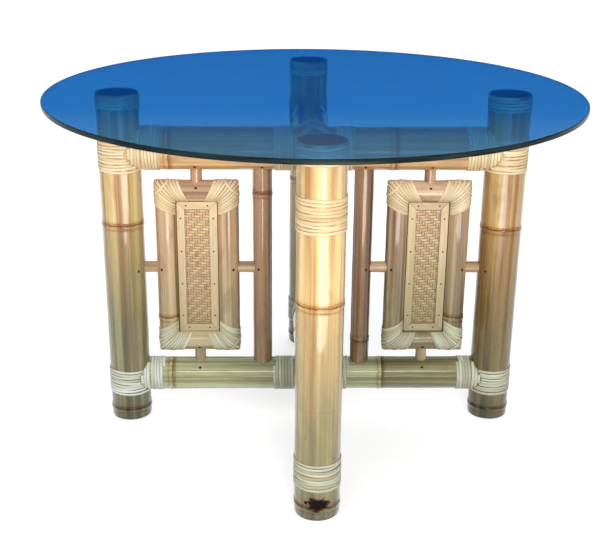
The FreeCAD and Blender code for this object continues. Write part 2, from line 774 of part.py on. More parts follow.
def make_leg_bindings(wall):
    """Band at the leg's top, strips round the leg at both rails, and windings on the rail ends."""
    leg_radius = value("leg_diameter / 2")
    reach = Placement(Vector(value("leg_reach"), 0, 0), Rotation())
    layer = value(STRIP_LAYER)
    turns = int(value("top_band_turns"))
    band = winding(leg_radius, value(LEG_LENGTH) - winding_length(turns) - value("strip_gap"), turns)
    band.Placement = reach
    solids = [band]
    for level in RAIL_HEIGHTS:
        height = value(RAIL_HEIGHTS[level])
        radius = value(f"{rail_diameter(level, wall)} / 2")
        inward = Vector(-1, 0, 0)
        envelope = Part.makeCylinder(radius + layer, value("leg_reach"), Vector(0, 0, height), inward)
        first = height - radius + value("strip_width") / 2
        for loop in open_loops(leg_radius, first, int(value(f"{level}_joint_strips")), envelope):
            loop.Placement = reach
            solids.append(loop)
        turns = int(value(f"{level}_end_turns"))
        edge = value(LEG_INNER_SIDE) - layer
        solids.append(lying_winding(radius, value(wound_end(level)), turns, height))
        leg = Part.makeCylinder(leg_radius + layer, value(LEG_LENGTH), reach.Base)
        first = edge + value("strip_gap + strip_width / 2")
        solids.extend(saddle_loops(radius, first, height, leg))
    bindings = keep(doc.addObject("Part::Feature", f"leg_{wall}_bindings"), f"leg_{wall}_bindings")
    bindings.Shape = Part.makeCompound(solids)
    bindings.Placement = Placement(Vector(), Rotation(Vector(0, 0, 1), WALLS[wall][0]))


def make_crossing_bindings(level):
    """Windings on the four arms from the place where the rails meet up to the posts."""
    layer = value(STRIP_LAYER)
    solids = []
    for wall, (turn, _) in WALLS.items():
        other = "long" if wall in ("front", "back") else "short"
        start = value(f"{level}_{other}_diameter / 2") + layer
        room = value(POST_INNER_SIDE) - layer - start
        turns = math.floor(QUARTERS * (room - value("strip_width")) / strip_pitch()) / QUARTERS
        radius = value(f"{rail_diameter(level, wall)} / 2")
        arm = lying_winding(radius, start, turns, 0)
        arm.Placement = Placement(Vector(), Rotation(Vector(0, 0, 1), turn)) * arm.Placement
        solids.append(arm)
    bindings = doc.addObject("Part::Feature", f"{level}_crossing_bindings")
    keep(bindings, f"{level}_crossing_bindings").Shape = Part.makeCompound(solids)
    bindings.Placement = Placement(Vector(0, 0, value(RAIL_HEIGHTS[level])), Rotation())


# Rattan round the mitred corners of a panel: strips that fan out from inside the panel

def prism(outline, depth):
    """A prism on an outline in u and z, standing this far out of the wall on both sides."""
    points = [Vector(u, -depth, z) for u, z in outline]
    return Part.Face(Part.makePolygon(points + points[:1])).extrude(Vector(0, 2 * depth, 0))


def corner_sleeve():
    """A sleeve round the corner of two mitred poles, whose axes run from the origin along +u and +z."""
    radius = value("panel_pole_diameter / 2 + strip_lift")
    outer = radius + value("strip_thickness")
    far = value("corner_hub") * 2
    halves = []
    for direction, region in (
        (Vector(0, 0, 1), [(-far, -far), (far, far), (-far, far)]),
        (Vector(1, 0, 0), [(-far, -far), (far, -far), (far, far)]),
    ):
        tube = Part.makeCylinder(outer, 2 * far, direction * -far, direction)
        tube = tube.cut(Part.makeCylinder(radius, 2 * far, direction * -far, direction))
        halves.append(tube.common(prism(region, 2 * outer)))
    return halves[0].fuse(halves[1])


def corner_strips():
    """The strips of one corner: slices of the sleeve between lines through the hub of the fan."""
    hub = value("corner_hub")
    reach = 4 * hub
    outer = value("panel_pole_diameter")
    tip = value("corner_tip")
    lath_block = value("mat_thickness / 2 + lath_thickness + strip_gap")
    slot_edge = value("panel_pole_diameter / 4")
    slot = prism([(slot_edge, slot_edge), (reach, slot_edge), (reach, reach), (slot_edge, reach)], lath_block)
    bare_tip = prism([(-reach, -reach), (reach - tip, -reach), (-reach, reach - tip)], outer)
    sleeve = corner_sleeve().cut(slot).cut(bare_tip)
    count = int(value("corner_strips"))
    first = math.atan2(hub - value("corner_spread"), hub)
    step = (math.pi / 2 - 2 * first) / count
    gap = value("strip_gap") / hub
    strips = []
    for number in range(count):
        begin = first + number * step + gap / 2
        end = first + (number + 1) * step - gap / 2
        corners = [(hub, hub)]
        for angle in (begin, end):
            corners.append((hub - reach * math.cos(angle), hub - reach * math.sin(angle)))
        strips.extend(sleeve.common(prism(corners, outer)).Solids)
    return strips


def make_corner_bindings(wall, strips):
    """The strips of one corner set at the panel's inner bottom corner and mirrored to the other three."""
    inset = value("panel_pole_diameter / 2")
    corner = Vector(value(PANEL_INNER_SIDE) + inset, 0, value(PANEL_BOTTOM) + inset)
    middle = Vector(value(PANEL_REACH), 0, value(PANEL_MIDDLE))
    solids = [strip.translated(corner) for strip in strips]
    solids += [solid.mirror(middle, Vector(1, 0, 0)) for solid in solids]
    solids += [solid.mirror(middle, Vector(0, 0, 1)) for solid in solids]
    label = f"panel_{wall}_corner_bindings"
    bindings = keep(doc.addObject("Part::Feature", label), label)
    bindings.Shape = Part.makeCompound(solids)
    bindings.Placement = Placement(Vector(), Rotation(Vector(0, 0, 1), WALLS[wall][0]))


# The whole table

make_glass()
make_leg_plugs()
for level in RAIL_HEIGHTS:
    make_long_rail(level)
    make_short_rail(level, "front")
    make_short_rail(level, "back")
    make_crossing_bindings(level)
make_tenon_plugs()
make_post_dowels()
one_corner = corner_strips()
for wall in WALLS:
    make_leg(wall)
    make_leg_bindings(wall)
    make_post(wall)
    make_panel_poles(wall)
    make_laths(wall)
    make_mat(wall)
    make_dowels(wall)
    make_corner_bindings(wall, one_corner)
make_pins()
make_nails()
doc.recompute()
print(f"least gap between turns of a winding: {min(winding_gaps):.2f} mm")

# Checks, then one file per piece

failed = [thing.Label for thing in doc.Objects if {"Invalid", "Error"} & set(thing.State)]
failed += [thing.Label for thing in subparts if thing.Shape.isNull() or not thing.Shape.isValid()]
if failed:
    raise RuntimeError(f"failed objects: {failed}")

os.makedirs("parts", exist_ok=True)
for thing in subparts:
    thing.Shape.exportStep(f"parts/{thing.Label}.step")
print(f"{len(subparts)} pieces written")
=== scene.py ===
import math
from functools import cached_property

import bmesh
import bpy
import numpy as np
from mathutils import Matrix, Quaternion, Vector


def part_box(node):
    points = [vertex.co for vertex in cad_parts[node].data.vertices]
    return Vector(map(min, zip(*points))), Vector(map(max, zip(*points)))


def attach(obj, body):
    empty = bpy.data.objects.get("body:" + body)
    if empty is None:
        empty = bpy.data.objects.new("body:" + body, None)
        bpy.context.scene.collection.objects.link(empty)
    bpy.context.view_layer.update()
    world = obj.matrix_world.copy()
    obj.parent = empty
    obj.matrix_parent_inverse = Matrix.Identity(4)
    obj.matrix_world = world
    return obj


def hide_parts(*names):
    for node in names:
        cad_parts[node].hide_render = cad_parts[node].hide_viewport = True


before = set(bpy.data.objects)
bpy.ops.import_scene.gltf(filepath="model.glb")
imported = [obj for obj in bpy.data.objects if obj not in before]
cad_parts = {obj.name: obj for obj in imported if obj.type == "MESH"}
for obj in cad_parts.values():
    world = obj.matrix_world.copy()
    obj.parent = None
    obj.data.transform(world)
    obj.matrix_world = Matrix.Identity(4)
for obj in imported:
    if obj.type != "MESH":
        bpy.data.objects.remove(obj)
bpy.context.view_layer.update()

chance = np.random.default_rng(11)

# Sizes in metres. What can be measured on the frame is read from it further down.
RIDGE = 0.0014
END_ZONE = 0.03
FOOT_ZONE = 0.015
LEG_WALL = 0.010
FOOT_ROUND = 0.005
FOOT_EASE = 0.0015
FOOT_HOLLOW = 0.026
LEG_TOP_BEVEL = 0.0012
LEG_TOP_GAP = 0.0004
PLUG_GAP = 0.0003
PLUG_BEVEL = 0.001
PLUG_THICKNESS = 0.020
SEAT = 0.0006
POLE_SEAM = 0.0001
DOWEL_ZONE = 0.03
STRIP_WIDTH = 0.0062
STRIP_THICKNESS = 0.0015
STRIP_LIFT = 0.0002
STRIP_PITCH = 0.0066
STRIP_LAYER = 0.0024
WIND_RISE = 0.00012
WIND_WANDER = 0.0003
LOOP_RISE = 0.0002
LOOP_WANDER = 0.0006
WIDEST_OPENING = 0.98
BAND_GAP = 0.0008
TOP_BAND = 0.0352
SADDLE_ARCS = 5
JOINT_BANDS = {"upper": 0.066, "lower": 0.058}
END_BANDS = {"upper": 0.0424, "lower": 0.0352}
CROSS_LIFTS = (0.0002, 0.0016)
CORNER_HUB = 0.079
CORNER_SPREAD = 0.041
CORNER_STRIPS = 12
CORNER_TIP = 0.041
FAN_COVER = 1.22
FAN_EDGE = 0.86
FAN_THICKNESS = 0.0013
STRAP_PLACE = 0.017
STRAP_LIFT = 0.0011
STRAP_WIDTH = 0.0058
LATH_WIDTH = 0.017
LATH_BEVEL = 0.0009
LATH_SEAM = 0.00025
# Scale of a lath's across value, which sets how much painted edge shade it gets
LATH_EDGE = 0.78
NAIL_HEAD = 0.0018
NAIL_DOME = 0.0006
NAIL_SHANK = 0.0011
NAIL_TIP = 0.002
NAIL_APART = 0.008
NAIL_ZONE = 0.003
WALL_START = 0.05
WALL_HALF_DEPTH = 0.03
WEAVE_PITCH = 0.0060
WEAVE_WIDTH = 0.0060
UPRIGHT_WIDTH = 0.0057
WEAVE_THICKNESS = 0.0008
WEAVE_SWING = 0.0010
WEAVE_MARGIN = 0.006
WEAVE_DRIFT = 0.00018
GLASS_BEVEL = 0.0015
GLASS_MARGIN = 0.0006

TURN = 2 * math.pi
UP = np.array([0.0, 0.0, 1.0])
LEVELS = ("upper", "lower")
WALLS = {
    "right": np.array([1.0, 0.0, 0.0]),
    "back": np.array([0.0, 1.0, 0.0]),
    "left": np.array([-1.0, 0.0, 0.0]),
    "front": np.array([0.0, -1.0, 0.0]),
}


# Reading the frame

def node_points(node):
    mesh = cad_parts[node].data
    points = np.empty(len(mesh.vertices) * 3, np.float32)
    mesh.vertices.foreach_get("co", points)
    return points.reshape(-1, 3).astype(float)


def across_wall(wall):
    """The level direction square to a wall."""
    return np.cross(UP, WALLS[wall])


def clusters(values, gap=0.010):
    """The means of the groups into which values fall."""
    values = np.sort(values)
    breaks = np.flatnonzero(np.diff(values) > gap) + 1
    return [float(group.mean()) for group in np.split(values, breaks) if len(group)]


def read_culm(node, axis, side, flat_towards=None, end_zone=END_ZONE):
    """Origin, radius, upper end and node rings of a CAD culm along axis. Side is square to it and has no
    flats. The plain radius is read in the end zones, which hold no node ring. A culm that is planed flat
    towards a direction has its axis set off from that face."""
    points = node_points(node)
    other = np.cross(axis, side)
    along, sideways, beside = points @ axis, points @ side, points @ other
    ends = (along < along.min() + end_zone) | (along > along.max() - end_zone)
    middle = (sideways.max() + sideways.min()) / 2
    radius = np.abs(sideways[ends] - middle).max()
    centre = (beside.max() + beside.min()) / 2
    if flat_towards is not None:
        towards = float(np.sign(other @ flat_towards))
        centre = towards * ((beside * towards).max() - radius)
    reach = np.hypot(sideways - middle, beside - centre)
    return {
        "origin": side * middle + other * centre, "axis": axis, "side": side, "radius": float(radius),
        "high": float(along.max()), "rings": clusters(along[reach > radius + 0.8 * RIDGE]),
    }


def other_side(spec):
    """The direction square to a pole's axis and its side."""
    return np.cross(spec["axis"], spec["side"])


def bearing_of(spec, direction):
    return math.atan2(float(direction @ other_side(spec)), float(direction @ spec["side"]))


def height_of(spec):
    return float(spec["origin"] @ UP)


# Mesh parts: points, faces and what the materials read at each point

def ring_angles(around):
    return np.linspace(0, TURN, around, endpoint=False)


def grid_faces(rows, columns, close_rows=False):
    """Quads of a grid whose columns close into rings."""
    spans = rows if close_rows else rows - 1
    row, column = np.meshgrid(np.arange(spans), np.arange(columns), indexing="ij")
    here, above, after = row * columns, (row + 1) % rows * columns, (column + 1) % columns
    quads = np.stack([here + column, here + after, above + after, above + column], axis=-1)
    return quads.reshape(-1, 4).tolist()


def fan(hub, ring):
    """Triangles from a hub to a ring of corners."""
    return [[hub, here, after] for here, after in zip(ring, ring[1:] + ring[:1])]


def turned_part(origin, axis, outline, around):
    """A solid of revolution. Outline lists radii and heights, downward. An end at radius 0 is a hub."""
    first = np.array([axis[1], axis[2], axis[0]])
    first = first - axis * (first @ axis)
    first /= np.linalg.norm(first)
    angle = ring_angles(around)[:, None]
    spokes = np.cos(angle) * first + np.sin(angle) * np.cross(axis, first)
    rings = [origin + axis * height + radius * spokes for radius, height in outline if radius > 0]
    faces = [face[::-1] for face in grid_faces(len(rings), around)]
    points = np.concatenate(rings)
    ring = list(range(around))
    last = [len(points) - around + corner for corner in ring]
    for (radius, height), end in ((outline[0], ring), (outline[-1], last[::-1])):
        if radius > 0:
            faces.append(end)
        else:
            faces += fan(len(points), end)
            points = np.concatenate([points, [origin + axis * height]])
    return {"points": points, "faces": faces, "values": {}}


def joined(parts):
    """One part from several."""
    faces, start = [], 0
    for part in parts:
        faces += [[corner + start for corner in face] for face in part["faces"]]
        start += len(part["points"])
    values = {
        key: np.concatenate([part["values"][key] for part in parts])
        for key in parts[0]["values"]
    }
    return {"points": np.concatenate([p["points"] for p in parts]), "faces": faces, "values": values}


def add_object(name, data):
    made = bpy.data.objects.new(name, data)
    bpy.context.scene.collection.objects.link(made)
    return made


def make_piece(name, node, part, slot, material=None, body="base", sharp_over=50):
    """A piece in place of a CAD node. Its points keep the values that its material reads."""
    mesh = bpy.data.meshes.new(name)
    mesh.from_pydata(part["points"].tolist(), [], part["faces"])
    for key, numbers in part["values"].items():
        kind, field = ("FLOAT", "value") if numbers.ndim == 1 else ("FLOAT_VECTOR", "vector")
        stored = mesh.attributes.new(key, kind, "POINT")
        stored.data.foreach_set(field, np.ascontiguousarray(numbers, np.float32).ravel())
    mesh.polygons.foreach_set("use_smooth", np.ones(len(mesh.polygons), bool))
    mesh.set_sharp_from_angle(angle=math.radians(sharp_over))
    mesh.validate()
    mesh.materials.append(MATERIALS[material or slot])
    made = add_object(name, mesh)
    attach(made, body)
    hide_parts(node)
    return made


# Colours and shader nodes

def paint(red, green, blue):
    """A colour written in display values from 0 to 255."""
    shares = [value / 255 for value in (red, green, blue)]
    linear = [s / 12.92 if s <= 0.04045 else ((s + 0.055) / 1.055) ** 2.4 for s in shares]
    return (*linear, 1.0)


class Nodes:
    """Short names for the shader nodes that the materials share. Patterns follow the fibres, or else
    object space."""

    def __init__(self, name, fibres=False):
        self.material = bpy.data.materials.new(name)
        self.material.use_nodes = True
        self.tree = self.material.node_tree
        self.shader = self.tree.nodes["Principled BSDF"]
        self.fibres = fibres

    @cached_property
    def place(self):
        return self.read("fibre", "Vector") if self.fibres else self.node("TexCoord", {}, "Object")

    def put(self, socket, value):
        if isinstance(value, bpy.types.NodeSocket):
            self.tree.links.new(value, socket)
        else:
            socket.default_value = value

    def node(self, kind, inputs, output=0, **settings):
        """One output of a new node."""
        made = self.tree.nodes.new(f"ShaderNode{kind}")
        for key, value in settings.items():
            setattr(made, key, value)
        for key, value in inputs.items():
            self.put(made.inputs[key], value)
        return made.outputs[output]

    def read(self, name, output="Fac"):
        return self.node("Attribute", {}, output, attribute_name=name)

    def stretched(self, scale):
        return self.node("Mapping", {"Vector": self.place, "Scale": scale})

    def noise(self, scale, detail=2.0, roughness=0.5, distortion=0.0):
        """Noise with a scale for each direction."""
        return self.node("TexNoise", {
            "Vector": self.stretched(scale), "Scale": 1.0,
            "Detail": detail, "Roughness": roughness, "Distortion": distortion,
        }, "Fac")

    def math(self, operation, first, second=0.0, clamp=False):
        return self.node("Math", {0: first, 1: second}, operation=operation, use_clamp=clamp)

    def add(self, first, second, clamp=False):
        return self.math("ADD", first, second, clamp)

    def spread(self, value, low, high, to_low=0.0, to_high=1.0):
        """Moves values between low and high to another range, and holds the rest at its ends."""
        return self.node("MapRange", {
            "Value": value, "From Min": low, "From Max": high, "To Min": to_low, "To Max": to_high,
        })

    def mix(self, first, second, share, blend="MIX"):
        inputs = {0: share, 6: first, 7: second}
        return self.node("Mix", inputs, 2, data_type="RGBA", blend_type=blend)

    def times(self, colour, tint):
        return self.mix(colour, tint, 1.0, "MULTIPLY")

    def ramp(self, value, stops):
        """A colour for each position from 0 to 1."""
        colour = self.node("ValToRGB", {"Fac": value}, "Color")
        marks = colour.node.color_ramp.elements
        while len(marks) < len(stops):
            marks.new(0.5)
        for mark, (position, tint) in zip(marks, stops):
            mark.position, mark.color = position, tint
        return colour

    def bump(self, height, distance, strength):
        inputs = {"Height": height, "Distance": distance, "Strength": strength}
        self.set(Normal=self.node("Bump", inputs))

    def set(self, **values):
        for key, value in values.items():
            self.put(self.shader.inputs[key.replace("_", " ")], value)


# Bamboo: fibres and streaks along the culm, mottling, and brown and pale rings at the nodes

RING_SPAN = 0.030
RING_WANDER = 0.0026
WHITE = (1.0, 1.0, 1.0, 1.0)
NODE_TINTS = [
    (0.26, WHITE),
    (0.345, (0.72, 0.58, 0.44, 1)),
    (0.375, (1.0, 0.94, 0.86, 1)),
    (0.465, (1.0, 0.96, 0.90, 1)),
    (0.487, (0.52, 0.31, 0.17, 1)),
    (0.505, (0.30, 0.16, 0.08, 1)),
    (0.530, (0.86, 0.66, 0.46, 1)),
    (0.546, (0.42, 0.25, 0.13, 1)),
    (0.565, (0.92, 0.76, 0.57, 1)),
    (0.585, (0.56, 0.35, 0.20, 1)),
    (0.615, (0.94, 0.84, 0.70, 1)),
    (0.72, WHITE),
]
STAIN = (0.30, 0.20, 0.11, 1)
FLECK = (0.15, 0.085, 0.04, 1)
CRACK = (0.17, 0.10, 0.05, 1)
# SHADE_TINT darkens by each culm's shade value: painted shade, partly the culms' own colour, on the
# right-hand leg, post and lower rail and on the legs below their top node; a random darkening on dowels and
# panel poles
SHADE_TINT = (0.42, 0.34, 0.22, 1)
# Darkens culms near the floor, and panel poles towards the bottom, where it is painted shade
LOW_DARKENING_TINT = (0.50, 0.54, 0.52, 1)
END_GRAIN = (0.035, 0.02, 0.012, 1), (0.15, 0.095, 0.05, 1)
SCAR_RIM = (0.085, 0.026, 0.014, 1)
SCAR_HEART = (0.008, 0.005, 0.006, 1)


def bamboo(name, *colours):
    """Colours are the light and dark streaks' at the top of the table, then at its feet."""
    high_light, high_dark, low_light, low_dark = [paint(*colour) for colour in colours]
    n = Nodes(name, fibres=True)
    fine = n.noise((560, 560, 6), 4, 0.6)
    streak = n.noise((95, 95, 1.0), 3)
    # Broad pale bands: partly the bamboo's own streaks, partly painted highlight
    broad = n.noise((38, 38, 1.3))
    blotch = n.noise((21, 21, 9), 5, 0.62, 0.5)
    fleck = n.noise((210, 210, 30), 3)
    crack = n.noise((330, 330, 3.2))
    uneven = n.noise((60, 60, 26), 4, 0.65)
    char = n.noise((160, 160, 160), 4, 0.7)
    wander = n.math("MULTIPLY", n.math("SUBTRACT", blotch, 0.5), 0.55)
    tone = n.add(n.read("tone"), wander, clamp=True)
    # Tone moves the colours from the feet's to the top's: partly the bamboo's own colour, partly painted
    # light, lighter up top and painted shade low down
    dark = n.mix(low_dark, high_dark, tone)
    bands = n.add(n.spread(streak, 0.40, 0.60, 0, 0.48), n.spread(broad, 0.42, 0.58, 0, 0.52))
    grain = n.add(bands, n.spread(fine, 0.32, 0.68, -0.05, 0.2), clamp=True)
    colour = n.mix(dark, n.mix(low_light, high_light, tone), grain)
    colour = n.mix(colour, n.mix(dark, STAIN, 0.45), n.spread(blotch, 0.54, 0.74, 0, 0.6))
    colour = n.mix(colour, FLECK, n.spread(fleck, 0.70, 0.79, 0, 0.55))
    colour = n.mix(colour, CRACK, n.spread(crack, 0.64, 0.74, 0, 0.6))
    # Painted shade, partly the culms' own colour: darker by the shade value
    colour = n.mix(colour, n.times(colour, SHADE_TINT), n.read("shade"))
    # Darker near the floor on culms, and painted shade towards the bottom on panel poles
    colour = n.mix(colour, n.times(colour, LOW_DARKENING_TINT), n.read("low_darkening"))
    ring = n.add(n.read("ring"), n.spread(uneven, 0.1, 0.9, -RING_WANDER, RING_WANDER))
    colour = n.times(colour, n.ramp(n.spread(ring, -RING_SPAN, RING_SPAN), NODE_TINTS))
    cut = n.read("cut")
    cells = n.node("TexVoronoi", {"Vector": n.stretched((1, 1, 0.2)), "Scale": 900}, "Distance")
    colour = n.mix(colour, n.mix(*END_GRAIN, n.spread(cells, 0.25, 0.5)), cut)
    scar = n.add(n.read("scar"), n.spread(char, 0.25, 0.75, -0.22, 0.22))
    colour = n.mix(colour, SCAR_RIM, n.spread(scar, 0.30, 0.45))
    colour = n.mix(colour, SCAR_HEART, n.spread(scar, 0.52, 0.72))
    rough = n.add(n.spread(blotch, 0.35, 0.7, 0.17, 0.38), n.spread(fine, 0, 1, 0, 0.08))
    dull = n.add(cut, n.spread(scar, 0.3, 0.5), clamp=True)
    n.set(Base_Color=colour, Roughness=n.add(rough, n.math("MULTIPLY", dull, 0.45)))
    n.set(Coat_Weight=n.spread(dull, 0, 1, 0.95, 0), Coat_Roughness=0.08, Specular_IOR_Level=0.15)
    relief = n.add(n.spread(fine, 0, 1, 0, 0.4), n.spread(streak, 0, 1, 0, 1.1))
    n.bump(n.add(relief, n.spread(blotch, 0, 1, 0, 0.6)), 0.0005, 0.7)
    return n.material


# Rattan strips: pale skin with long pores and brown splits, painted shade at the edges where strips meet,
# each strip a shade of its own

RATTAN_TAN = (0.42, 0.24, 0.10, 1)
# Dark brown for splits, and for the painted shade at strip edges
RATTAN_SPLIT_AND_EDGE_SHADE = (0.30, 0.12, 0.05, 1)


def rattan(name, *colours):
    """Colours are the light and dark ones at the top of the table, at its feet, and bleached at its feet."""
    high_light, high_dark, low_light, low_dark, pale_light, pale_dark = [paint(*c) for c in colours]
    n = Nodes(name, fibres=True)
    strand, tone, bleach = n.read("strand"), n.read("tone"), n.read("bleach")
    pores = n.noise((1500, 1500, 16), 3, 0.6)
    patch = n.noise((120, 120, 22), 3)
    split = n.noise((700, 700, 7))
    # Tone moves the colours from the feet's to the top's: partly the rattan's own colour, partly painted
    # light, lighter up top and painted shade low down
    light = n.mix(n.mix(low_light, pale_light, bleach), high_light, tone)
    dark = n.mix(n.mix(low_dark, pale_dark, bleach), high_dark, tone)
    mixed = n.add(n.spread(pores, 0.3, 0.7, 0, 0.55), n.spread(strand, 0, 1, -0.1, 0.5), clamp=True)
    colour = n.mix(dark, light, mixed)
    colour = n.mix(colour, dark, n.spread(patch, 0.58, 0.75, 0, 0.7))
    colour = n.mix(colour, n.mix(dark, RATTAN_TAN, 0.35), n.spread(strand, 0.86, 0.95, 0, 0.75))
    split_and_edge_shade = n.mix(dark, RATTAN_SPLIT_AND_EDGE_SHADE, 0.7)
    edge = n.math("ABSOLUTE", n.read("across"))
    # Painted shade: each strip darker towards its edges, where it meets the next
    colour = n.mix(colour, split_and_edge_shade, n.spread(edge, 0.80, 1.0, 0, 0.85))
    colour = n.mix(colour, split_and_edge_shade, n.spread(split, 0.60, 0.70, 0, 0.6))
    n.set(Base_Color=colour, Roughness=n.spread(pores, 0.2, 0.8, 0.26, 0.5))
    n.set(Coat_Weight=0.15, Coat_Roughness=0.2, Specular_IOR_Level=0.25)
    n.bump(n.add(pores, n.math("MULTIPLY", patch, 0.6)), 0.0003, 0.7)
    return n.material


# Split bamboo: the woven mat's strips and the laths that hold it

# Painted shade: mats and laths darker and cooler towards the bottom
PAINTED_LOW_SHADE = (0.47, 0.54, 0.51, 1)


def split_bamboo(name, light, dark, deep, gloss, per_strand):
    light, dark, deep = paint(*light), paint(*dark), paint(*deep)
    n = Nodes(name, fibres=True)
    pores = n.noise((1100, 1100, 14), 4, 0.6)
    streak = n.noise((240, 240, 5), 3)
    patch = n.noise((40, 40, 14), 4)
    mixed = n.add(n.spread(streak, 0.3, 0.7, 0, 0.6), n.spread(pores, 0.3, 0.7, 0, 0.3))
    strand = n.math("MULTIPLY", n.read("strand"), per_strand)
    colour = n.mix(dark, light, n.math("SUBTRACT", mixed, strand, clamp=True))
    colour = n.mix(colour, deep, n.spread(patch, 0.55, 0.8, 0, 0.5))
    # Painted shade: strips and laths darker towards their edges, where they meet the next
    edge = n.math("ABSOLUTE", n.read("across"))
    colour = n.mix(colour, deep, n.spread(edge, 0.66, 0.96, 0, 0.9))
    # Painted shade towards the bottom, following tone
    colour = n.mix(n.times(colour, PAINTED_LOW_SHADE), colour, n.read("tone"))
    n.set(Base_Color=colour, Roughness=n.spread(pores, 0.2, 0.8, gloss - 0.08, gloss + 0.12))
    n.bump(n.add(pores, streak), 0.0003, 0.6)
    return n.material


# Hardwood, and the dark pins and nails, with patterns in object space

def hardwood(name, light, dark):
    light, dark = paint(*light), paint(*dark)
    n = Nodes(name)
    rings = n.noise((220, 220, 60), 4, distortion=0.8)
    pores = n.noise((900, 900, 240), 3)
    colour = n.mix(dark, light, n.spread(rings, 0.3, 0.7))
    colour = n.mix(colour, dark, n.spread(pores, 0.6, 0.75, 0, 0.6))
    n.set(Base_Color=colour, Roughness=n.spread(pores, 0.2, 0.8, 0.5, 0.7))
    n.bump(pores, 0.0004, 0.6)
    return n.material


def dark_stud(name, light, dark, rough):
    n = Nodes(name)
    rust = n.noise((900, 900, 900), 4, 0.65)
    n.set(Base_Color=n.mix(paint(*dark), paint(*light), n.spread(rust, 0.35, 0.7)))
    n.set(Roughness=n.spread(rust, 0.3, 0.7, rough, rough + 0.25), Specular_IOR_Level=0.12)
    n.bump(rust, 0.0003, 0.6)
    return n.material


# Glass: a blue sheet that lets lamps through, with a near-black polished edge

# Deep blue: partly the glass's own tint, partly painted reflection of a blue surround
GLASS_TINT_AND_REFLECTION = (0.035, 0.235, 0.60, 1)
GLASS_SHADOW = (0.94, 0.97, 1.0, 1)
EDGE_TINTS = (0.004, 0.008, 0.009, 1), (0.014, 0.032, 0.034, 1)


def sheet_glass(name):
    n = Nodes(name)
    smears = n.noise((9, 9, 9), 4, 0.6)
    n.set(Base_Color=GLASS_TINT_AND_REFLECTION, IOR=1.45, Transmission_Weight=1.0)
    n.set(Roughness=n.spread(smears, 0.35, 0.7, 0.0, 0.04))
    lamp_ray = n.node("LightPath", {}, "Is Shadow Ray")
    clear = n.node("BsdfTransparent", {"Color": GLASS_SHADOW})
    either = n.node("MixShader", {0: lamp_ray, 1: n.shader.outputs[0], 2: clear})
    n.put(n.tree.nodes["Material Output"].inputs["Surface"], either)
    return n.material


def edge_glass(name):
    n = Nodes(name)
    waves = n.noise((14, 14, 160), 3)
    n.set(Base_Color=n.mix(*EDGE_TINTS, n.spread(waves, 0.35, 0.7)), IOR=1.5)
    n.set(Roughness=n.spread(waves, 0.3, 0.7, 0.12, 0.24), Specular_IOR_Level=0.10)
    return n.material


BAMBOO_COLOURS = {
    # The legs' light top colour is raised partly as painted highlight
    "leg_bamboo": ((255, 221, 148), (186, 120, 58), (168, 166, 124), (86, 85, 57)),
    "upper_rail_bamboo": ((246, 198, 134), (188, 130, 74), (240, 192, 130), (182, 126, 72)),
    "lower_rail_bamboo": ((208, 209, 162), (128, 128, 88), (202, 204, 158), (122, 124, 86)),
    "post_bamboo": ((200, 152, 108), (86, 54, 32), (158, 126, 92), (68, 49, 33)),
    "panel_bamboo": ((248, 204, 158), (146, 98, 66), (218, 198, 154), (104, 86, 60)),
    "dowel": ((222, 172, 124), (166, 116, 74), (200, 184, 144), (140, 122, 86)),
}
MATERIALS = {name: bamboo(name, *colours) for name, colours in BAMBOO_COLOURS.items()}
MATERIALS |= {
    "rattan": rattan(
        "rattan", (255, 241, 199), (236, 197, 140), (218, 227, 203), (164, 162, 134),
        (236, 246, 240), (186, 192, 178),
    ),
    "lath": split_bamboo("lath", (255, 236, 192), (232, 196, 146), (166, 126, 82), 0.40, 0.3),
    "woven_mat": split_bamboo("woven_mat", (255, 242, 204), (230, 184, 130), (104, 72, 43), 0.42, 0.8),
    "hardwood": hardwood("hardwood", (150, 104, 66), (92, 58, 34)),
    "leg_plug": hardwood("leg_plug", (56, 42, 32), (30, 22, 17)),
    "pin": dark_stud("pin", (84, 46, 27), (36, 19, 12), 0.45),
    "nail": dark_stud("nail", (62, 40, 27), (24, 15, 11), 0.6),
    "glass": sheet_glass("glass"),
    "glass_edge": edge_glass("glass_edge"),
}


# Bamboo culms with natural nodes, a slightly uneven round and cut, coped or mitred ends

RING_STEP = 0.0011
RING_REACH = 0.013
PLAIN_STEP = 0.011
ROW_GAP = 0.0004
END_MARGIN = 0.004
NO_RING = 1.0
# Heights over which colours go from the feet's to the top's: partly the material's own colour, partly
# painted light, lighter up top and painted shade low down
TONE_LOW, TONE_HIGH = 0.10, 0.60
# Height over which a culm darkens towards the floor
LOW_DARKENING_HEIGHT = 0.09
SEED_REACH = 50
# Height, place and spread of a node's ridge, its groove and the sheath's scar
NODE_SWELLS = ((0.0012, -0.0046, 0.0030), (-0.0007, 0.0002, 0.0009), (0.0010, 0.0026, 0.0013))
NODE_FLARE, FLARE_REACH = 0.0002, 0.012
OVAL = 0.003
# Size of a node ring's wandering along the culm, and its waves round it
RING_WAVER = ((0.0006, 2), (0.0004, 5))
# Height of the culm's unevenness, and its waves along and round
UNEVEN = ((0.00012, 70, 2), (0.00010, 23, 3))
# A branch scar's dent and lip as swells, its rags as size, count and phase, and the hole beside it
SCAR_DENT, SCAR_LIP = (-0.0016, 0, 0.6), (0.0008, 0.95, 0.3)
SCAR_RAGS = ((0.12, 3, 1.1), (0.10, 7, 0), (0.08, 11, 2))
SCAR_HOLE = 0.0030
SCAR_DEPTH = 0.004


def tone_at(heights):
    """0 near the floor and 1 from the upper rails up."""
    share = np.clip((heights - TONE_LOW) / (TONE_HIGH - TONE_LOW), 0, 1)
    return share * share * (3 - 2 * share)


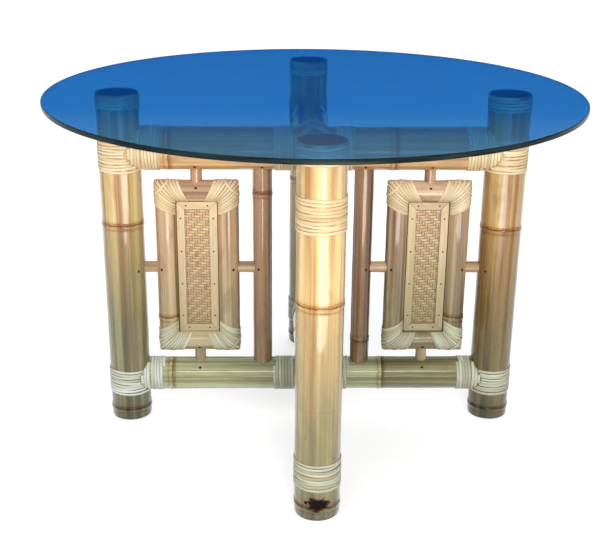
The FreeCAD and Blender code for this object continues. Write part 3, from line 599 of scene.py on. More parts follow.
def strand_values(points, fibre, across):
    """What the materials of strips and laths read, with a seed and a shade of its own."""
    seed = chance.uniform(0, SEED_REACH, 3)
    return {
        "fibre": fibre + seed, "strand": np.full(len(points), chance.uniform()),
        "across": across, "tone": tone_at(points @ UP),
    }


def swell(distance, height, place, spread):
    return height * np.exp(-((distance - place) / spread) ** 2)


def node_relief(distance):
    """Height of a node over its culm."""
    flare = NODE_FLARE * np.exp(-np.abs(distance) / FLARE_REACH)
    return sum(swell(distance, *shape) for shape in NODE_SWELLS) + flare


def branch_scar(places, reach, angle, radius, scar):
    """Relief and darkness of a ragged branch scar with a small hole beside it."""
    height, bearing, width, tall = scar
    sideways = ((angle - bearing + math.pi) % TURN - math.pi) * radius
    across, up = sideways / width, (places - height) / tall
    spoke = np.arctan2(up, across)
    ragged = 1 + sum(size * np.sin(count * spoke + phase) for size, count, phase in SCAR_RAGS)
    plain = np.hypot(up, across)
    hole = np.hypot(places - height - 0.1 * tall, sideways + 1.05 * width) / SCAR_HOLE
    relief = swell(plain, *SCAR_DENT) + swell(plain, *SCAR_LIP)
    mark = np.clip(np.maximum(1.3 - 0.95 * plain / ragged, 1.5 - hole), 0, 1)
    outer = np.abs(reach - radius) < SCAR_DEPTH
    return np.where(outer, relief, 0), np.where(outer, mark, 0)


def row_places(low, high, rings):
    rows = [np.linspace(low, high, max(4, int((high - low) / PLAIN_STEP)))]
    rows += [np.arange(ring - RING_REACH, ring + RING_REACH, RING_STEP) for ring in rings]
    rows = np.unique(np.concatenate(rows).round(5))
    rows = rows[(rows >= low) & (rows <= high)]
    return rows[np.concatenate([[True], np.diff(rows) > ROW_GAP])]


def limits(bound, x, y):
    return bound(x, y) if callable(bound) else np.full_like(x, bound)


def fitted(rows, x, y, low, high):
    """Places along the culm, drawn to end surfaces that may be coped or mitred."""
    first, last = limits(low, x, y), limits(high, x, y)
    free_low, free_high = first.max() + END_MARGIN, last.min() - END_MARGIN
    places = np.repeat(rows[:, None], len(x), axis=1)
    near, far = rows < free_low, rows > free_high
    share = ((rows[near] - rows[0]) / (free_low - rows[0]))[:, None]
    places[near] = first + share * (free_low - first)
    share = ((rows[-1] - rows[far]) / (rows[-1] - free_high))[:, None]
    places[far] = last - share * (last - free_high)
    return places


def culm_part(spec, low, high, around, upward=1, foot=(), top=(), shade=0.0, scar=None):
    """A closed culm. Low and high are numbers or surfaces over x and y. Foot and top add the cut ends of a
    hollow leg as lists of (radius, place along the axis), from the outside in. Shade is one darkening, or
    one below and one above the uppermost node. Scar is a branch scar's height, bearing and half sizes."""
    radius, rings = spec["radius"], spec["rings"]
    angle = ring_angles(around)
    x, y = radius * np.cos(angle), radius * np.sin(angle)
    close_up = [scar[0] - 0.6 * scar[3], scar[0] + 0.6 * scar[3]] if scar else []
    rows = row_places(limits(low, x, y).min(), limits(high, x, y).max(), rings + close_up)
    places = fitted(rows, x, y, low, high)
    seed = chance.uniform(0, SEED_REACH, 3)
    swing = chance.uniform(0, TURN, 4)
    gap = np.full(places.shape, NO_RING)
    for ring in rings:
        away = upward * (places - ring)
        gap = np.where(np.abs(away) < np.abs(gap), away, gap)
    wavers = zip(RING_WAVER, swing[[3, 0]])
    waver = sum(size * np.sin(about * angle + phase) for (size, about), phase in wavers)
    reach = radius * (1 + OVAL * np.cos(2 * angle + swing[0])) + node_relief(gap + waver)
    for (height, along, about), phase in zip(UNEVEN, swing[1:3]):
        reach = reach + height * np.sin(places * along + about * angle + phase)

    foot, top = np.reshape(foot, (-1, 2))[::-1], np.reshape(top, (-1, 2))

    def extended(grid, first, last):
        """A grid with the rows of the cut ends added."""
        ends = [np.repeat(end[:, None], around, axis=1) for end in (first, last)]
        return np.concatenate([ends[0], grid, ends[1]])

    cut_ends = np.ones(len(foot)), np.ones(len(top))
    cut = extended(np.zeros(places.shape), *cut_ends)
    gap = extended(gap, *(NO_RING * end for end in cut_ends))
    reach = extended(reach, foot[:, 0], top[:, 0])
    places = extended(places, foot[:, 1], top[:, 1])
    below, above = np.broadcast_to(shade, 2)
    shades = np.where(places > (rings[-1] if rings else -1.0), above, below)
    mark = np.zeros(places.shape)
    if scar:
        relief, mark = branch_scar(places, reach, angle, radius, scar)
        reach = reach + relief

    grid = np.stack([reach * np.cos(angle), reach * np.sin(angle), places], axis=-1)
    hubs = [(grid[row, :, 0].mean(), 0, places[row].mean()) for row in (0, -1)]
    local = np.concatenate([grid.reshape(-1, 3), hubs])
    points = spec["origin"] + local @ np.stack([spec["side"], other_side(spec), spec["axis"]])
    ring, hub = list(range(around)), places.size
    last = [hub - around + corner for corner in ring]
    faces = grid_faces(len(places), around) + fan(hub, ring[::-1]) + fan(hub + 1, last)
    fibre = local[:hub] + seed
    heights = points @ UP

    def capped(values, end):
        return np.concatenate([values.ravel(), [end, end]])

    return {"points": points, "faces": faces, "values": {
        "fibre": np.concatenate([fibre, fibre[[0, -1]]]),
        "ring": capped(gap, NO_RING),
        "cut": capped(cut, 1.0),
        "scar": capped(mark, 0.0),
        "shade": capped(shades, shades.mean()),
        "tone": tone_at(heights),
        "low_darkening": np.clip(1 - heights / LOW_DARKENING_HEIGHT, 0, 1),
    }}


# Legs

def read_rail(level, wall):
    name = "long" if wall in ("left", "right") else wall
    axis = WALLS["right"] if name == "long" else WALLS[wall]
    return read_culm(f"{level}_{name}_rail", axis, np.cross(UP, axis))


LEGS = {wall: read_culm(f"leg_{wall}", UP, across_wall(wall), end_zone=FOOT_ZONE) for wall in WALLS}
RAILS = {(level, wall): read_rail(level, wall) for level in LEVELS for wall in WALLS}
LEG_RADIUS = LEGS["front"]["radius"]
LEG_REACH = float(LEGS["right"]["origin"] @ WALLS["right"])
LEG_TOP = LEGS["front"]["high"]
LUMEN = LEG_RADIUS - LEG_WALL
CUT_TOP = LEG_TOP - LEG_TOP_GAP
# Painted shade, partly the culms' own colour: the right-hand leg, post and lower rail darker, and the legs
# darker below their top node
POST_SHADES = {"front": 0.18, "left": 0.0, "right": 0.32, "back": 0.18}
RAIL_SHADES = {"upper": 0.0, "lower": (0.0, 0.75)}
SHORT_RAIL_SHADE = 0.1
LEG_SHADES = {"front": (0.32, 0.0), "left": (0.40, 0.02), "right": (0.86, 0.52), "back": (0.45, 0.2)}
LEG_TONES = {"front": 0.14, "left": -0.14, "right": 0.18, "back": 0.0}
LEG_BLEACH = {"front": 0.0, "left": 0.8, "right": 0.15, "back": 0.3}
# Height and half sizes of a leg's branch scar, which faces outward
LEG_SCARS = {"front": (0.038, 0.0235, 0.0150)}


def make_leg(wall):
    spec = LEGS[wall]
    foot = [
        (LEG_RADIUS - FOOT_EASE, FOOT_EASE), (LEG_RADIUS - FOOT_ROUND, 0.0),
        (LUMEN, 0.0), (LUMEN, FOOT_HOLLOW),
    ]
    crown = [(LEG_RADIUS - LEG_TOP_BEVEL, CUT_TOP), (LUMEN, CUT_TOP), (LUMEN, CUT_TOP - PLUG_THICKNESS)]
    scar = None
    if wall in LEG_SCARS:
        height, width, tall = LEG_SCARS[wall]
        scar = height, bearing_of(spec, WALLS[wall]), width, tall
    part = culm_part(
        spec, FOOT_ROUND, CUT_TOP - LEG_TOP_BEVEL, around=160, foot=foot, top=crown,
        shade=LEG_SHADES[wall], scar=scar,
    )
    values = part["values"]
    values["tone"] = np.clip(values["tone"] + LEG_TONES[wall] * (1 - values["low_darkening"]), 0, 1)
    make_piece(f"leg_{wall}_culm", f"leg_{wall}", part, "leg_bamboo")


def make_leg_plugs():
    """Wooden discs in the leg tops, a little below the glass."""
    radius = LUMEN - PLUG_GAP
    outline = [
        (0, CUT_TOP), (radius - PLUG_BEVEL, CUT_TOP), (radius, CUT_TOP - PLUG_BEVEL),
        (radius, CUT_TOP - PLUG_THICKNESS),
    ]
    parts = [turned_part(LEGS[wall]["origin"], UP, outline, around=64) for wall in WALLS]
    make_piece("leg_top_discs", "leg_top_plugs", joined(parts), "hardwood", "leg_plug", sharp_over=35)


# Rails and posts

def saddle(place, sign, radius, by_side=True):
    """The end of a pole that sits on a round one at this place. The round falls away along the pole's side,
    or else along the direction square to it."""
    seat = radius - SEAT
    return lambda x, y: place + sign * np.sqrt(np.maximum(seat ** 2 - (x if by_side else y) ** 2, 0))


def make_rails():
    left_end, right_end = [saddle(sign * LEG_REACH, -sign, LEG_RADIUS) for sign in (-1, 1)]
    for level in LEVELS:
        root = saddle(0, 1, RAILS[level, "right"]["radius"], by_side=False)
        for name, wall, start, around, shade in (
            ("long", "right", left_end, 88, RAIL_SHADES[level]),
            ("front", "front", root, 80, SHORT_RAIL_SHADE),
            ("back", "back", root, 80, SHORT_RAIL_SHADE),
        ):
            part = culm_part(RAILS[level, wall], start, right_end, around=around, shade=shade)
            node = f"{level}_{name}_rail"
            make_piece(f"{level}_{name}_culm", node, part, "rail_bamboo", f"{level}_rail_bamboo")


def make_posts():
    for wall in WALLS:
        node = f"post_{wall}"
        spec = read_culm(node, UP, across_wall(wall))
        rails = [(RAILS["lower", wall], 1), (RAILS["upper", wall], -1)]
        ends = [saddle(height_of(rail), sign, rail["radius"]) for rail, sign in rails]
        upward = 1 if wall in ("left", "front") else -1
        part = culm_part(spec, *ends, around=56, upward=upward, shade=POST_SHADES[wall])
        make_piece(f"{node}_culm", node, part, "post_bamboo")


# Panels

def read_panel(wall):
    """The four poles of a panel, and where their axes meet."""
    out, side = WALLS[wall], across_wall(wall)
    poles = {
        name: read_culm(f"panel_{wall}_{name}", axis, side, flat_towards)
        for name, axis, flat_towards in (
            ("outer_stile", UP, -out), ("inner_stile", UP, out),
            ("top_rail", out, None), ("bottom_rail", out, None),
        )
    }
    return {
        "poles": poles,
        "inner": float(poles["inner_stile"]["origin"] @ out),
        "outer": float(poles["outer_stile"]["origin"] @ out),
        "bottom": height_of(poles["bottom_rail"]),
        "top": height_of(poles["top_rail"]),
        "radius": poles["top_rail"]["radius"],
    }


PANELS = {wall: read_panel(wall) for wall in WALLS}
PANEL_SHADES = {"left": 0.0, "right": 0.0, "front": 0.1, "back": 0.1}
PANEL_TONES = {"left": 0.0, "right": -0.1, "front": -0.05, "back": -0.1}
# Painted shade: how much each wall's panel poles darken towards the bottom
PANEL_LOW_SHADE = {"left": 0.6, "right": 0.85, "front": 0.6, "back": 0.7}


def toned(part, wall):
    """Shifts a panel's part along its colours from feet to top, by an amount for its wall."""
    part["values"]["tone"] = np.clip(part["values"]["tone"] + PANEL_TONES[wall], 0, 1)
    return part


def mitre(place, slope, spec, direction):
    """A 45 degree end at this place, rising or falling towards a direction in the panel."""
    across, beside = float(spec["side"] @ direction), float(other_side(spec) @ direction)
    return lambda x, y: place + slope * (x * across + y * beside)


def make_panel_poles(wall):
    panel, out = PANELS[wall], WALLS[wall]
    uprights = panel["bottom"] + POLE_SEAM, panel["top"] - POLE_SEAM, out
    levels = panel["inner"] + POLE_SEAM, panel["outer"] - POLE_SEAM, UP
    for name, (low, high, direction), slope in (
        ("inner_stile", uprights, 1), ("outer_stile", uprights, -1),
        ("bottom_rail", levels, 1), ("top_rail", levels, -1),
    ):
        spec = panel["poles"][name]
        ends = mitre(low, slope, spec, direction), mitre(high, -slope, spec, direction)
        part = culm_part(spec, *ends, around=60, shade=PANEL_SHADES[wall] + chance.uniform(0, 0.1))
        values = toned(part, wall)["values"]
        # Painted shade: the poles darker towards the bottom
        values["low_darkening"] = PANEL_LOW_SHADE[wall] * (1 - values["tone"])
        node = f"panel_{wall}_{name}"
        make_piece(f"{node}_culm", node, part, "panel_bamboo")


def make_dowels(wall):
    """Round dowels from the panel's poles into the leg, the post and both rails."""
    panel, out, side = PANELS[wall], WALLS[wall], across_wall(wall)
    node = f"panel_{wall}_dowels"
    points = node_points(node)
    level = out, points @ out, (panel["inner"] + panel["outer"]) / 2
    upright = UP, points @ UP, (panel["top"] + panel["bottom"]) / 2
    parts = []
    for (axis, place, half), (beside, across, centre) in ((upright, level), (level, upright)):
        near = np.abs(across - centre) < DOWEL_ZONE
        radius = float(np.abs(across[near] - centre).max())
        spec = {"origin": beside * centre, "axis": axis, "side": side, "radius": radius, "rings": []}
        for rod in (place[near & (place < half)], place[near & (place > half)]):
            parts.append(culm_part(spec, rod.min(), rod.max(), around=40, shade=chance.uniform(0, 0.15)))
    make_piece(f"{node}_rods", node, joined(parts), "dowel")


def panel_opening(wall):
    """Low and high corner in u and z of the opening between a panel's poles."""
    panel = PANELS[wall]
    r = panel["radius"]
    return panel["inner"] + r, panel["outer"] - r, panel["bottom"] + r, panel["top"] - r


def lath_part(wall, face, depth, upright, low, high, edge, inward):
    """A flat mitred lath with eased edges on one face of the wall. It runs from low to high, beside an edge
    of the panel's opening."""
    out, side = WALLS[wall], across_wall(wall)
    along, beside = (UP, out) if upright else (out, UP)
    near, far = depth
    inner = edge + inward * LATH_WIDTH
    outline = [
        (low + LATH_SEAM, edge), (high - LATH_SEAM, edge),
        (high - LATH_WIDTH - LATH_SEAM, inner), (low + LATH_WIDTH + LATH_SEAM, inner),
    ]
    form = bmesh.new()
    corners = [form.verts.new(Vector(along * a + beside * b + side * face * near)) for a, b in outline]
    floor = form.faces.new(corners)
    raised = bmesh.ops.extrude_face_region(form, geom=[floor])["geom"]
    lifted = [item for item in raised if isinstance(item, bmesh.types.BMVert)]
    bmesh.ops.translate(form, vec=Vector(side * face * (far - near)), verts=lifted)
    bmesh.ops.bevel(form, geom=form.edges[:], offset=LATH_BEVEL, segments=2, affect="EDGES", profile=0.6)
    bmesh.ops.recalc_face_normals(form, faces=form.faces[:])
    form.verts.index_update()
    points = np.array([vert.co[:] for vert in form.verts])
    faces = [[vert.index for vert in item.verts] for item in form.faces]
    form.free()
    sideways = points @ beside - (edge + inner) / 2
    fibre = np.stack([sideways, points @ side, points @ along], axis=-1)
    values = strand_values(points, fibre, LATH_EDGE * sideways / (LATH_WIDTH / 2))
    return {"points": points, "faces": faces, "values": values}


def make_laths(wall):
    u0, u1, z0, z1 = panel_opening(wall)
    node = f"panel_{wall}_laths"
    faces = node_points(node) @ across_wall(wall)
    depth = float(faces[faces > 0].min()), float(faces.max())
    parts = [
        lath_part(wall, face, depth, *lath)
        for face in (1, -1)
        for lath in (
            (True, z0, z1, u0, 1), (True, z0, z1, u1, -1),
            (False, u0, u1, z0, 1), (False, u0, u1, z1, -1),
        )
    ]
    make_piece(f"{node}_frame", node, toned(joined(parts), wall), "lath", sharp_over=40)


# Strips of rattan and split bamboo

SECTION = np.array([(-1, 0), (-1, 0.45), (-0.62, 0.9), (0, 1), (0.62, 0.9), (1, 0.45), (1, 0)])


def strip_part(path, normals, widths, thickness=STRIP_THICKNESS, closed=False, section=SECTION):
    """A crowned strip along a path whose outer side faces the normals."""
    if closed:
        tangents = np.roll(path, -1, axis=0) - np.roll(path, 1, axis=0)
    else:
        tangents = np.gradient(path, axis=0)
    sides = np.cross(tangents, normals)
    sides /= np.linalg.norm(sides, axis=1)[:, None]
    offset = section[:, 0] * np.broadcast_to(widths, len(path))[:, None] / 2
    points = path[:, None] + sides[:, None] * offset[..., None]
    points = (points + normals[:, None] * (section[:, 1] * thickness)[:, None]).reshape(-1, 3)
    count = len(section)
    faces = grid_faces(len(path), count, closed)
    if not closed:
        faces.append(list(range(count))[::-1])
        faces.append([len(points) - count + corner for corner in range(count)])
    steps = np.linalg.norm(np.diff(path, axis=0), axis=1)
    along = np.concatenate([[0], np.cumsum(steps)])
    place = np.repeat(along[:, None], count, axis=1)
    fibre = np.stack([offset, np.zeros_like(offset), place], axis=-1).reshape(-1, 3)
    values = strand_values(points, fibre, np.tile(section[:, 0], len(path)))
    return {"points": points, "faces": faces, "values": values}


def round_pole(spec, angle, place, radius):
    """Points and outward normals on a pole, at angles from its side direction."""
    normals = np.cos(angle)[:, None] * spec["side"] + np.sin(angle)[:, None] * other_side(spec)
    place, radius = [np.broadcast_to(value, len(angle))[:, None] for value in (place, radius)]
    return spec["origin"] + normals * radius + place * spec["axis"], normals


def unsteady(count, size):
    """A slow wander of about this size, the same at both ends."""
    turn = np.linspace(0, TURN, count)
    phases = chance.uniform(0, TURN, 3)
    waves = zip((1, 0.6, 0.4), (1, 2, 3), phases)
    return size * sum(share * np.sin(number * turn + phase) for share, number, phase in waves)


def wound_part(spec, low, high, per_turn=56):
    """One strip wound tightly from low to high."""
    turns = (high - low - STRIP_WIDTH) / STRIP_PITCH
    count = int(turns * per_turn) + 1
    angle = np.linspace(0, TURN * turns, count) + chance.uniform(0, TURN)
    place = np.linspace(low + STRIP_WIDTH / 2, high - STRIP_WIDTH / 2, count)
    knots = 8 * int(turns + 2)
    wander = np.interp(angle, np.linspace(angle[0], angle[-1], knots), chance.uniform(-1, 1, knots))
    radius = spec["radius"] + STRIP_LIFT + WIND_RISE * wander
    points, normals = round_pole(spec, angle, place + WIND_WANDER * wander, radius)
    widths = STRIP_WIDTH * (1 + 0.06 * np.roll(wander, per_turn // 3))
    part = strip_part(points, normals, widths)
    turn_number = np.floor((angle - angle[0]) / TURN).astype(int)
    shades = chance.uniform(0, 1, turn_number.max() + 2)
    part["values"]["strand"] = np.repeat(shades[turn_number], len(SECTION))
    return part


def open_loop(spec, place, opening, bearing, count=72):
    """A strip round a pole, open by an angle to both sides of a bearing."""
    angle = np.linspace(bearing + opening, bearing + TURN - opening, count)
    places = place + unsteady(count, LOOP_WANDER)
    radius = spec["radius"] + STRIP_LIFT + np.abs(unsteady(count, LOOP_RISE))
    points, normals = round_pole(spec, angle, places, radius)
    widths = STRIP_WIDTH * (chance.uniform(0.82, 1.04) + unsteady(count, 0.05))
    return strip_part(points, normals, widths)


def wall_rail(level, wall):
    """A rail seen from its own wall, with its axis pointing outward."""
    rail = RAILS[level, wall]
    return {**rail, "axis": WALLS[wall], "side": across_wall(wall), "origin": UP * height_of(rail)}


def saddle_arcs(rail, place):
    """Strips on both cheeks of a rail's saddled end, where the leg leaves room for them."""
    outer = rail["radius"] + STRIP_LIFT
    sideways = math.sqrt(max((LEG_RADIUS + STRIP_LAYER) ** 2 - (LEG_REACH - place) ** 2, 0))
    if sideways >= outer:
        return []
    half = math.pi / 2 - math.asin(sideways / outer)
    arcs = []
    for cheek in (1, -1):
        middle = bearing_of(rail, cheek * rail["side"])
        angle = np.linspace(middle - half, middle + half, 30)
        arcs.append(strip_part(*round_pole(rail, angle, place, outer), STRIP_WIDTH))
    return arcs


def make_leg_bindings(wall):
    leg = LEGS[wall]
    top = CUT_TOP - BAND_GAP
    parts = [wound_part(leg, top - TOP_BAND, top, per_turn=72)]
    towards_middle = bearing_of(leg, -WALLS[wall])
    edge = LEG_REACH - LEG_RADIUS - STRIP_LAYER
    for level in LEVELS:
        rail = wall_rail(level, wall)
        envelope = rail["radius"] + STRIP_LIFT + 0.5 * STRIP_THICKNESS
        for number in range(round(JOINT_BANDS[level] / STRIP_PITCH)):
            above = STRIP_PITCH * (number + 0.5) - rail["radius"]
            half_width = math.sqrt(max(envelope ** 2 - above ** 2, 0))
            opening = math.asin(min(half_width / LEG_RADIUS, WIDEST_OPENING))
            parts.append(open_loop(leg, height_of(rail) + above, opening, towards_middle))
        parts.append(wound_part(rail, edge - END_BANDS[level], edge))
        for number in range(SADDLE_ARCS):
            parts += saddle_arcs(rail, edge + STRIP_PITCH * (number + 0.5))
    part = joined(parts)
    part["values"]["bleach"] = np.full(len(part["points"]), LEG_BLEACH[wall])
    node = f"leg_{wall}_bindings"
    make_piece(f"{node}_rattan", node, part, "rattan")


def crossing_straps(level):
    """Strips that cross over the middle of the rails from notch to notch, above and below."""
    rail = RAILS[level, "right"]
    turn = ring_angles(96)[:, None]
    parts = []
    for bearing, lift in zip((math.pi / 4, 3 * math.pi / 4), CROSS_LIFTS):
        along = np.array([math.cos(bearing), math.sin(bearing), 0])
        radius = rail["radius"] + STRIP_LIFT + lift
        oval = along * math.sqrt(2) * radius * np.cos(turn) + UP * (height_of(rail) + radius * np.sin(turn))
        normals = along * np.cos(turn) / math.sqrt(2) + UP * np.sin(turn)
        normals /= np.linalg.norm(normals, axis=1)[:, None]
        for number in (-1, 0, 1):
            path = oval + np.cross(UP, along) * number * STRIP_PITCH
            parts.append(strip_part(path, normals, STRIP_WIDTH, closed=True))
    return parts


def make_crossing_bindings(level):
    parts = crossing_straps(level)
    post = read_culm("post_right", UP, across_wall("right"))
    post_side = float(post["origin"] @ WALLS["right"]) - post["radius"]
    for wall in WALLS:
        other = "front" if wall in ("left", "right") else "right"
        start = RAILS[level, other]["radius"] + STRIP_LAYER
        parts.append(wound_part(wall_rail(level, wall), start, post_side - STRIP_LAYER))
    node = f"{level}_crossing_bindings"
    make_piece(f"{node}_rattan", node, joined(parts), "rattan")


# Rattan round the panels' corners: strips fan out from inside the panel, and a strap crosses each ear

def fan_strip(angle, step, radius):
    """Path, normals and widths of one strip of the fan, for poles from the origin along +u and +z, and which
    of its points lie short of the corner's tip."""
    upright = angle < math.pi / 4
    slope = math.tan(angle if upright else math.pi / 2 - angle)
    start = math.acos(FAN_EDGE)
    bend = np.linspace(start, TURN - start, 44)
    outward, flat = np.cos(bend), np.zeros(len(bend))
    near = radius * outward
    run = CORNER_HUB - (CORNER_HUB - near) * slope
    u, z = (near, run) if upright else (run, near)
    normal_u, normal_z = (outward, flat) if upright else (flat, outward)
    path = np.stack([u, -radius * np.sin(bend), z], axis=-1)
    normals = np.stack([normal_u, -np.sin(bend), normal_z], axis=-1)
    distance = np.hypot(CORNER_HUB - u, CORNER_HUB - z)
    widths = distance * step * FAN_COVER * math.cos(math.pi / 4 - abs(angle - math.pi / 4))
    return path, normals, widths, near + run > -CORNER_TIP


def ear_strap(radius):
    """A strip over the tip of the corner, on both faces."""
    level = -STRAP_PLACE
    first = np.linspace(-radius, level / 2, 16)
    depth = -np.sqrt(np.maximum(radius ** 2 - first ** 2, 0))
    front = np.stack([first, depth, level - first], axis=-1)
    front = np.concatenate([front, front[::-1][1:, ::-1]])
    path = np.concatenate([front, front[::-1][1:-1] * np.array([1, -1, 1])])
    upright = path[:, :1] < path[:, 2:]
    normals = path * np.where(upright, (1, 1, 0), (0, 1, 1))
    normals = (np.roll(normals, 1, axis=0) + 2 * normals + np.roll(normals, -1, axis=0)) / 4
    normals /= np.linalg.norm(normals, axis=1)[:, None]
    return path, normals


def split_runs(keep):
    """The unbroken stretches where keep is true."""
    edges = np.flatnonzero(np.diff(np.concatenate([[0], keep.astype(int), [0]])))
    return [slice(a, b) for a, b in zip(edges[::2], edges[1::2]) if b - a > 2]


def make_corner_bindings(wall):
    panel, out, side = PANELS[wall], WALLS[wall], across_wall(wall)
    radius = panel["radius"] + STRIP_LIFT
    first = math.atan2(CORNER_HUB - CORNER_SPREAD, CORNER_HUB)
    step = (math.pi / 2 - 2 * first) / CORNER_STRIPS
    parts = []
    for u, u_sign in ((panel["inner"], 1), (panel["outer"], -1)):
        for z, z_sign in ((panel["bottom"], 1), (panel["top"], -1)):
            corner = out * u + UP * z
            axes = np.stack([out * u_sign, side, UP * z_sign])
            for number in range(CORNER_STRIPS):
                path, normals, widths, keep = fan_strip(first + (number + 0.5) * step, step, radius)
                shade = chance.uniform()
                for run in split_runs(keep):
                    place = corner + path[run] @ axes
                    part = strip_part(place, normals[run] @ axes, widths[run], FAN_THICKNESS)
                    part["values"]["strand"][:] = shade
                    parts.append(part)
            path, normals = ear_strap(radius + STRAP_LIFT)
            strap = corner + path @ axes, normals @ axes
            parts.append(strip_part(*strap, STRAP_WIDTH, FAN_THICKNESS, closed=True))
    node = f"panel_{wall}_corner_bindings"
    make_piece(f"{node}_rattan", node, joined(parts), "rattan")


# Woven mats: two sets of strips in a two-over, two-under twill

MAT_SECTION = np.array([(-1, -0.5), (-1, 0.25), (0, 0.5), (1, 0.25), (1, -0.5)])


def woven_strip(fixed, first, last, over, wall, upright):
    """One strip of the mat. Over says where it passes above the strips that cross it."""
    side = across_wall(wall)
    along, beside = (UP, WALLS[wall]) if upright else (WALLS[wall], UP)
    knots = first + WEAVE_PITCH * (np.arange(len(over)) + 0.5)
    run = np.linspace(first, last, 2 * len(over) + 1)
    height = np.interp(run, knots, np.where(over, WEAVE_SWING, -WEAVE_SWING))
    fixed = fixed + chance.uniform(-WEAVE_DRIFT, WEAVE_DRIFT)
    path = beside * fixed + along * run[:, None] + side * height[:, None]
    normals = np.repeat(side[None], len(run), axis=0)
    width = (UPRIGHT_WIDTH if upright else WEAVE_WIDTH) * chance.uniform(0.96, 1.02)
    part = strip_part(path, normals, width, WEAVE_THICKNESS, section=MAT_SECTION)
    part["values"]["strand"][:] = chance.uniform(0.75, 1.2) if upright else chance.uniform(0, 0.35)
    return part


def make_mat(wall):
    u0, u1, z0, z1 = panel_opening(wall)
    inset = LATH_WIDTH - WEAVE_MARGIN
    columns = np.arange(int((u1 - u0 - 2 * inset) / WEAVE_PITCH))
    rows = np.arange(int((z1 - z0 - 2 * inset) / WEAVE_PITCH))
    width, height = len(columns) * WEAVE_PITCH, len(rows) * WEAVE_PITCH
    u0, z0 = (u0 + u1 - width) / 2, (z0 + z1 - height) / 2
    parts = []
    for column in columns:
        place = u0 + WEAVE_PITCH * (column + 0.5)
        parts.append(woven_strip(place, z0, z0 + height, (rows + column) % 4 < 2, wall, True))
    for row in rows:
        place = z0 + WEAVE_PITCH * (row + 0.5)
        parts.append(woven_strip(place, u0, u0 + width, (row + columns) % 4 >= 2, wall, False))
    node = f"panel_{wall}_mat"
    make_piece(f"{node}_weave", node, toned(joined(parts), wall), "woven_mat", sharp_over=80)


# Nails with domed heads in the laths

def make_nails():
    points = node_points("lath_nails")
    parts = []
    for wall in WALLS:
        out, side = WALLS[wall], across_wall(wall)
        u, v, z = points @ out, points @ side, points @ UP
        lath_face = float((node_points(f"panel_{wall}_laths") @ side).max())
        outline = [
            (0.45 * NAIL_HEAD, NAIL_DOME), (0.85 * NAIL_HEAD, 0.6 * NAIL_DOME), (NAIL_HEAD, 0.0),
            (NAIL_SHANK, 0.0), (NAIL_SHANK, NAIL_TIP - lath_face),
        ]
        here = (np.abs(v) < WALL_HALF_DEPTH) & (u > WALL_START)
        for face in (1, -1):
            heads = here & (face * v > lath_face - NAIL_ZONE)
            spots = np.stack([u[heads], z[heads]], axis=-1)
            while len(spots):
                near = np.linalg.norm(spots - spots[0], axis=1) < NAIL_APART
                middle = (spots[near].max(axis=0) + spots[near].min(axis=0)) / 2
                place = out * middle[0] + UP * middle[1] + side * face * lath_face
                parts.append(turned_part(place, side * face, outline, around=12))
                spots = spots[~near]
    make_piece("lath_nail_heads", "lath_nails", joined(parts), "nail", sharp_over=40)


# Glass top

def make_glass():
    low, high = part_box("glass_top")
    centre = (low + high) / 2
    radius = min(high.x - low.x, high.y - low.y) / 2
    inside = radius - GLASS_BEVEL
    flat = [0, 0.3 * radius, 0.6 * radius, 0.9 * radius, inside - GLASS_MARGIN]
    upper = [(r, high.z) for r in flat] + [
        (inside + GLASS_BEVEL * math.sin(bend), high.z - GLASS_BEVEL * (1 - math.cos(bend)))
        for bend in np.linspace(0, math.pi / 2, 5)
    ]
    lower = [(r, low.z + high.z - z) for r, z in upper[::-1]]
    part = turned_part(np.array([centre.x, centre.y, 0]), UP, upper + lower, around=288)
    made = make_piece("glass_sheet", "glass_top", part, "glass", body="glass_top", sharp_over=30)
    made.data.materials.append(MATERIALS["glass_edge"])
    rim = radius - 0.6 * GLASS_BEVEL
    for face in made.data.polygons:
        if math.hypot(face.center.x - centre.x, face.center.y - centre.y) > rim:
            face.material_index = 1


# Stage, light and camera

FLOOR_SIZE = 1200
FLOOR_GREY = (0.62, 0.62, 0.62, 1)
FLOOR_LIFT = 0.61
CARD_HALF, CARD_BEHIND, CARD_LOW, CARD_HIGH = 4.0, 3.2, 0.85, 3.0
CARD_FADE = (1.48, 1.82)
WORLD_STRENGTH = 0.25
PHOTO_WIDTH = 600
FOCAL_PIXELS = 1082.9
CAMERA_PLACE = Vector((-0.0839, -2.2528, 1.1919))
CAMERA_LOOK = Vector((0.0237, 0.9348, -0.3543))
CAMERA_ROLL = 0.0097
# Place, aim, width, height, power, and whether a lamp shows only as a highlight or only lights
LAMPS = {
    "softbox": ((0.6, -3.5, 1.75), (0, 0, 0.45), 1.2, 2.2, 84, False),
    "left_strip": ((-2.0, -2.8, 1.6), (0, 0, 0.45), 0.4, 2.2, 20, False),
    "floor_strip": ((0.3, -2.4, 0.02), (0.3, -2.4, 1.0), 1.0, 2.4, 52, True),
    "rail_strip": ((0.2, -3.8, 2.5), (0, 0, 0.3), 1.8, 0.14, 24, True),
}
# Turn and spread in degrees, strength, and whether a sun shows as a highlight
SUNS = {"sky_glow": ((30, -18, 0), 40, 0.8, True), "back_glow": ((-58, 14, 0), 60, 1.7, False)}


def add_screen(name, corners, material):
    mesh = bpy.data.meshes.new(name)
    mesh.from_pydata(corners, [], [(0, 1, 2, 3)])
    mesh.materials.append(material)
    screen = add_object(name, mesh)
    return screen


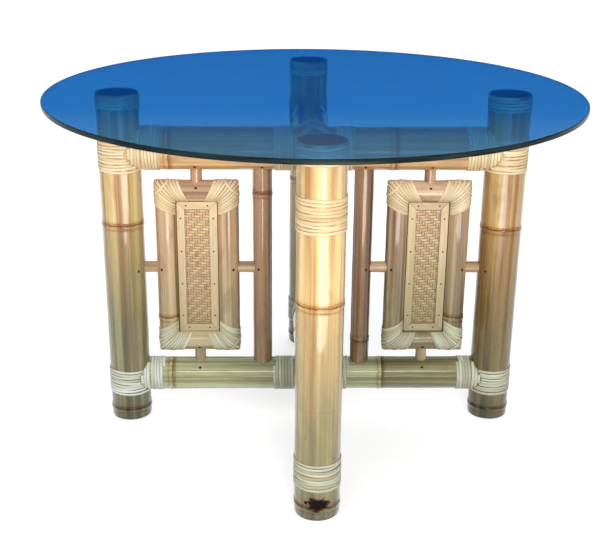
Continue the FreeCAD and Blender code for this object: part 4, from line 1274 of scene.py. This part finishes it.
def make_stage():
    """A pale floor, lifted to white where the camera, a reflection or the glass shows it."""
    n = Nodes("pale_floor")
    rays = [n.node("LightPath", {}, f"Is {kind} Ray") for kind in ("Camera", "Glossy", "Transmission")]
    seen = n.add(n.add(rays[0], rays[1], clamp=True), rays[2], clamp=True)
    n.set(Base_Color=FLOOR_GREY, Roughness=0.9, Specular_IOR_Level=0.1)
    n.set(Emission_Color=WHITE, Emission_Strength=n.math("MULTIPLY", seen, FLOOR_LIFT))
    half = FLOOR_SIZE / 2
    add_screen("floor", [(-half, -half, 0), (half, -half, 0), (half, half, 0), (-half, half, 0)], n.material)


def make_card():
    """A blue card that stands behind the table and above the picture, seen only as a reflection."""
    n = Nodes("card_blue")
    height = n.node("SeparateXYZ", {0: n.place}, "Z")
    blue = n.mix(paint(6, 62, 152), paint(20, 96, 192), n.noise((0.7, 0.7, 0.7), 4))
    colour = n.mix(blue, paint(150, 180, 196), n.spread(height, *CARD_FADE))
    n.set(Base_Color=(0, 0, 0, 1), Emission_Color=colour)
    n.set(Emission_Strength=1.0, Specular_IOR_Level=0.0)
    card = add_screen("blue_card", [
        (-CARD_HALF, CARD_BEHIND, CARD_HIGH), (CARD_HALF, CARD_BEHIND, CARD_HIGH),
        (CARD_HALF, CARD_BEHIND, CARD_LOW), (-CARD_HALF, CARD_BEHIND, CARD_LOW),
    ], n.material)
    card.visible_camera = card.visible_diffuse = False
    card.visible_transmission = card.visible_shadow = False


def make_light():
    world = bpy.data.worlds.new("studio")
    bpy.context.scene.world = world
    world.use_nodes = True
    sky = world.node_tree.nodes["Background"]
    sky.inputs["Color"].default_value = WHITE
    sky.inputs["Strength"].default_value = WORLD_STRENGTH
    for name, (place, aim, width, height, power, highlight) in LAMPS.items():
        data = bpy.data.lights.new(name, "AREA")
        data.shape = "RECTANGLE"
        data.size, data.size_y, data.energy = width, height, power
        lamp = add_object(name, data)
        lamp.location = place
        lamp.rotation_euler = (Vector(aim) - Vector(place)).to_track_quat("-Z", "Y").to_euler()
        lamp.visible_camera = lamp.visible_transmission = False
        lamp.visible_diffuse, lamp.visible_glossy = not highlight, highlight
    for name, (turn, spread, strength, highlight) in SUNS.items():
        data = bpy.data.lights.new(name, "SUN")
        data.angle, data.energy = math.radians(spread), strength
        lamp = add_object(name, data)
        lamp.rotation_euler = [math.radians(angle) for angle in turn]
        lamp.visible_glossy, lamp.visible_transmission = highlight, False


def make_camera():
    data = bpy.data.cameras.new("camera")
    data.sensor_width = 36
    data.sensor_fit = "HORIZONTAL"
    data.lens = FOCAL_PIXELS / PHOTO_WIDTH * data.sensor_width
    camera = add_object("camera", data)
    camera.location = CAMERA_PLACE
    turn = CAMERA_LOOK.to_track_quat("-Z", "Y") @ Quaternion((0, 0, 1), CAMERA_ROLL)
    camera.rotation_euler = turn.to_euler()
    bpy.context.scene.camera = camera


def finish_cad_nodes():
    """Materials for the small pieces that keep their CAD shapes."""
    materials = {"dowel_pins": "pin", "rail_tenon_plugs": "hardwood", "post_dowels": "hardwood"}
    for node, material in materials.items():
        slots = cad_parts[node].data.materials
        slots.clear()
        slots.append(MATERIALS[material])


make_camera()
make_stage()
make_card()
make_light()
for wall in WALLS:
    make_leg(wall)
    make_leg_bindings(wall)
    make_panel_poles(wall)
    make_dowels(wall)
    make_laths(wall)
    make_mat(wall)
    make_corner_bindings(wall)
make_leg_plugs()
make_rails()
make_posts()
for level in LEVELS:
    make_crossing_bindings(level)
make_nails()
make_glass()
finish_cad_nodes()

bpy.context.scene.view_settings.view_transform = "Standard"
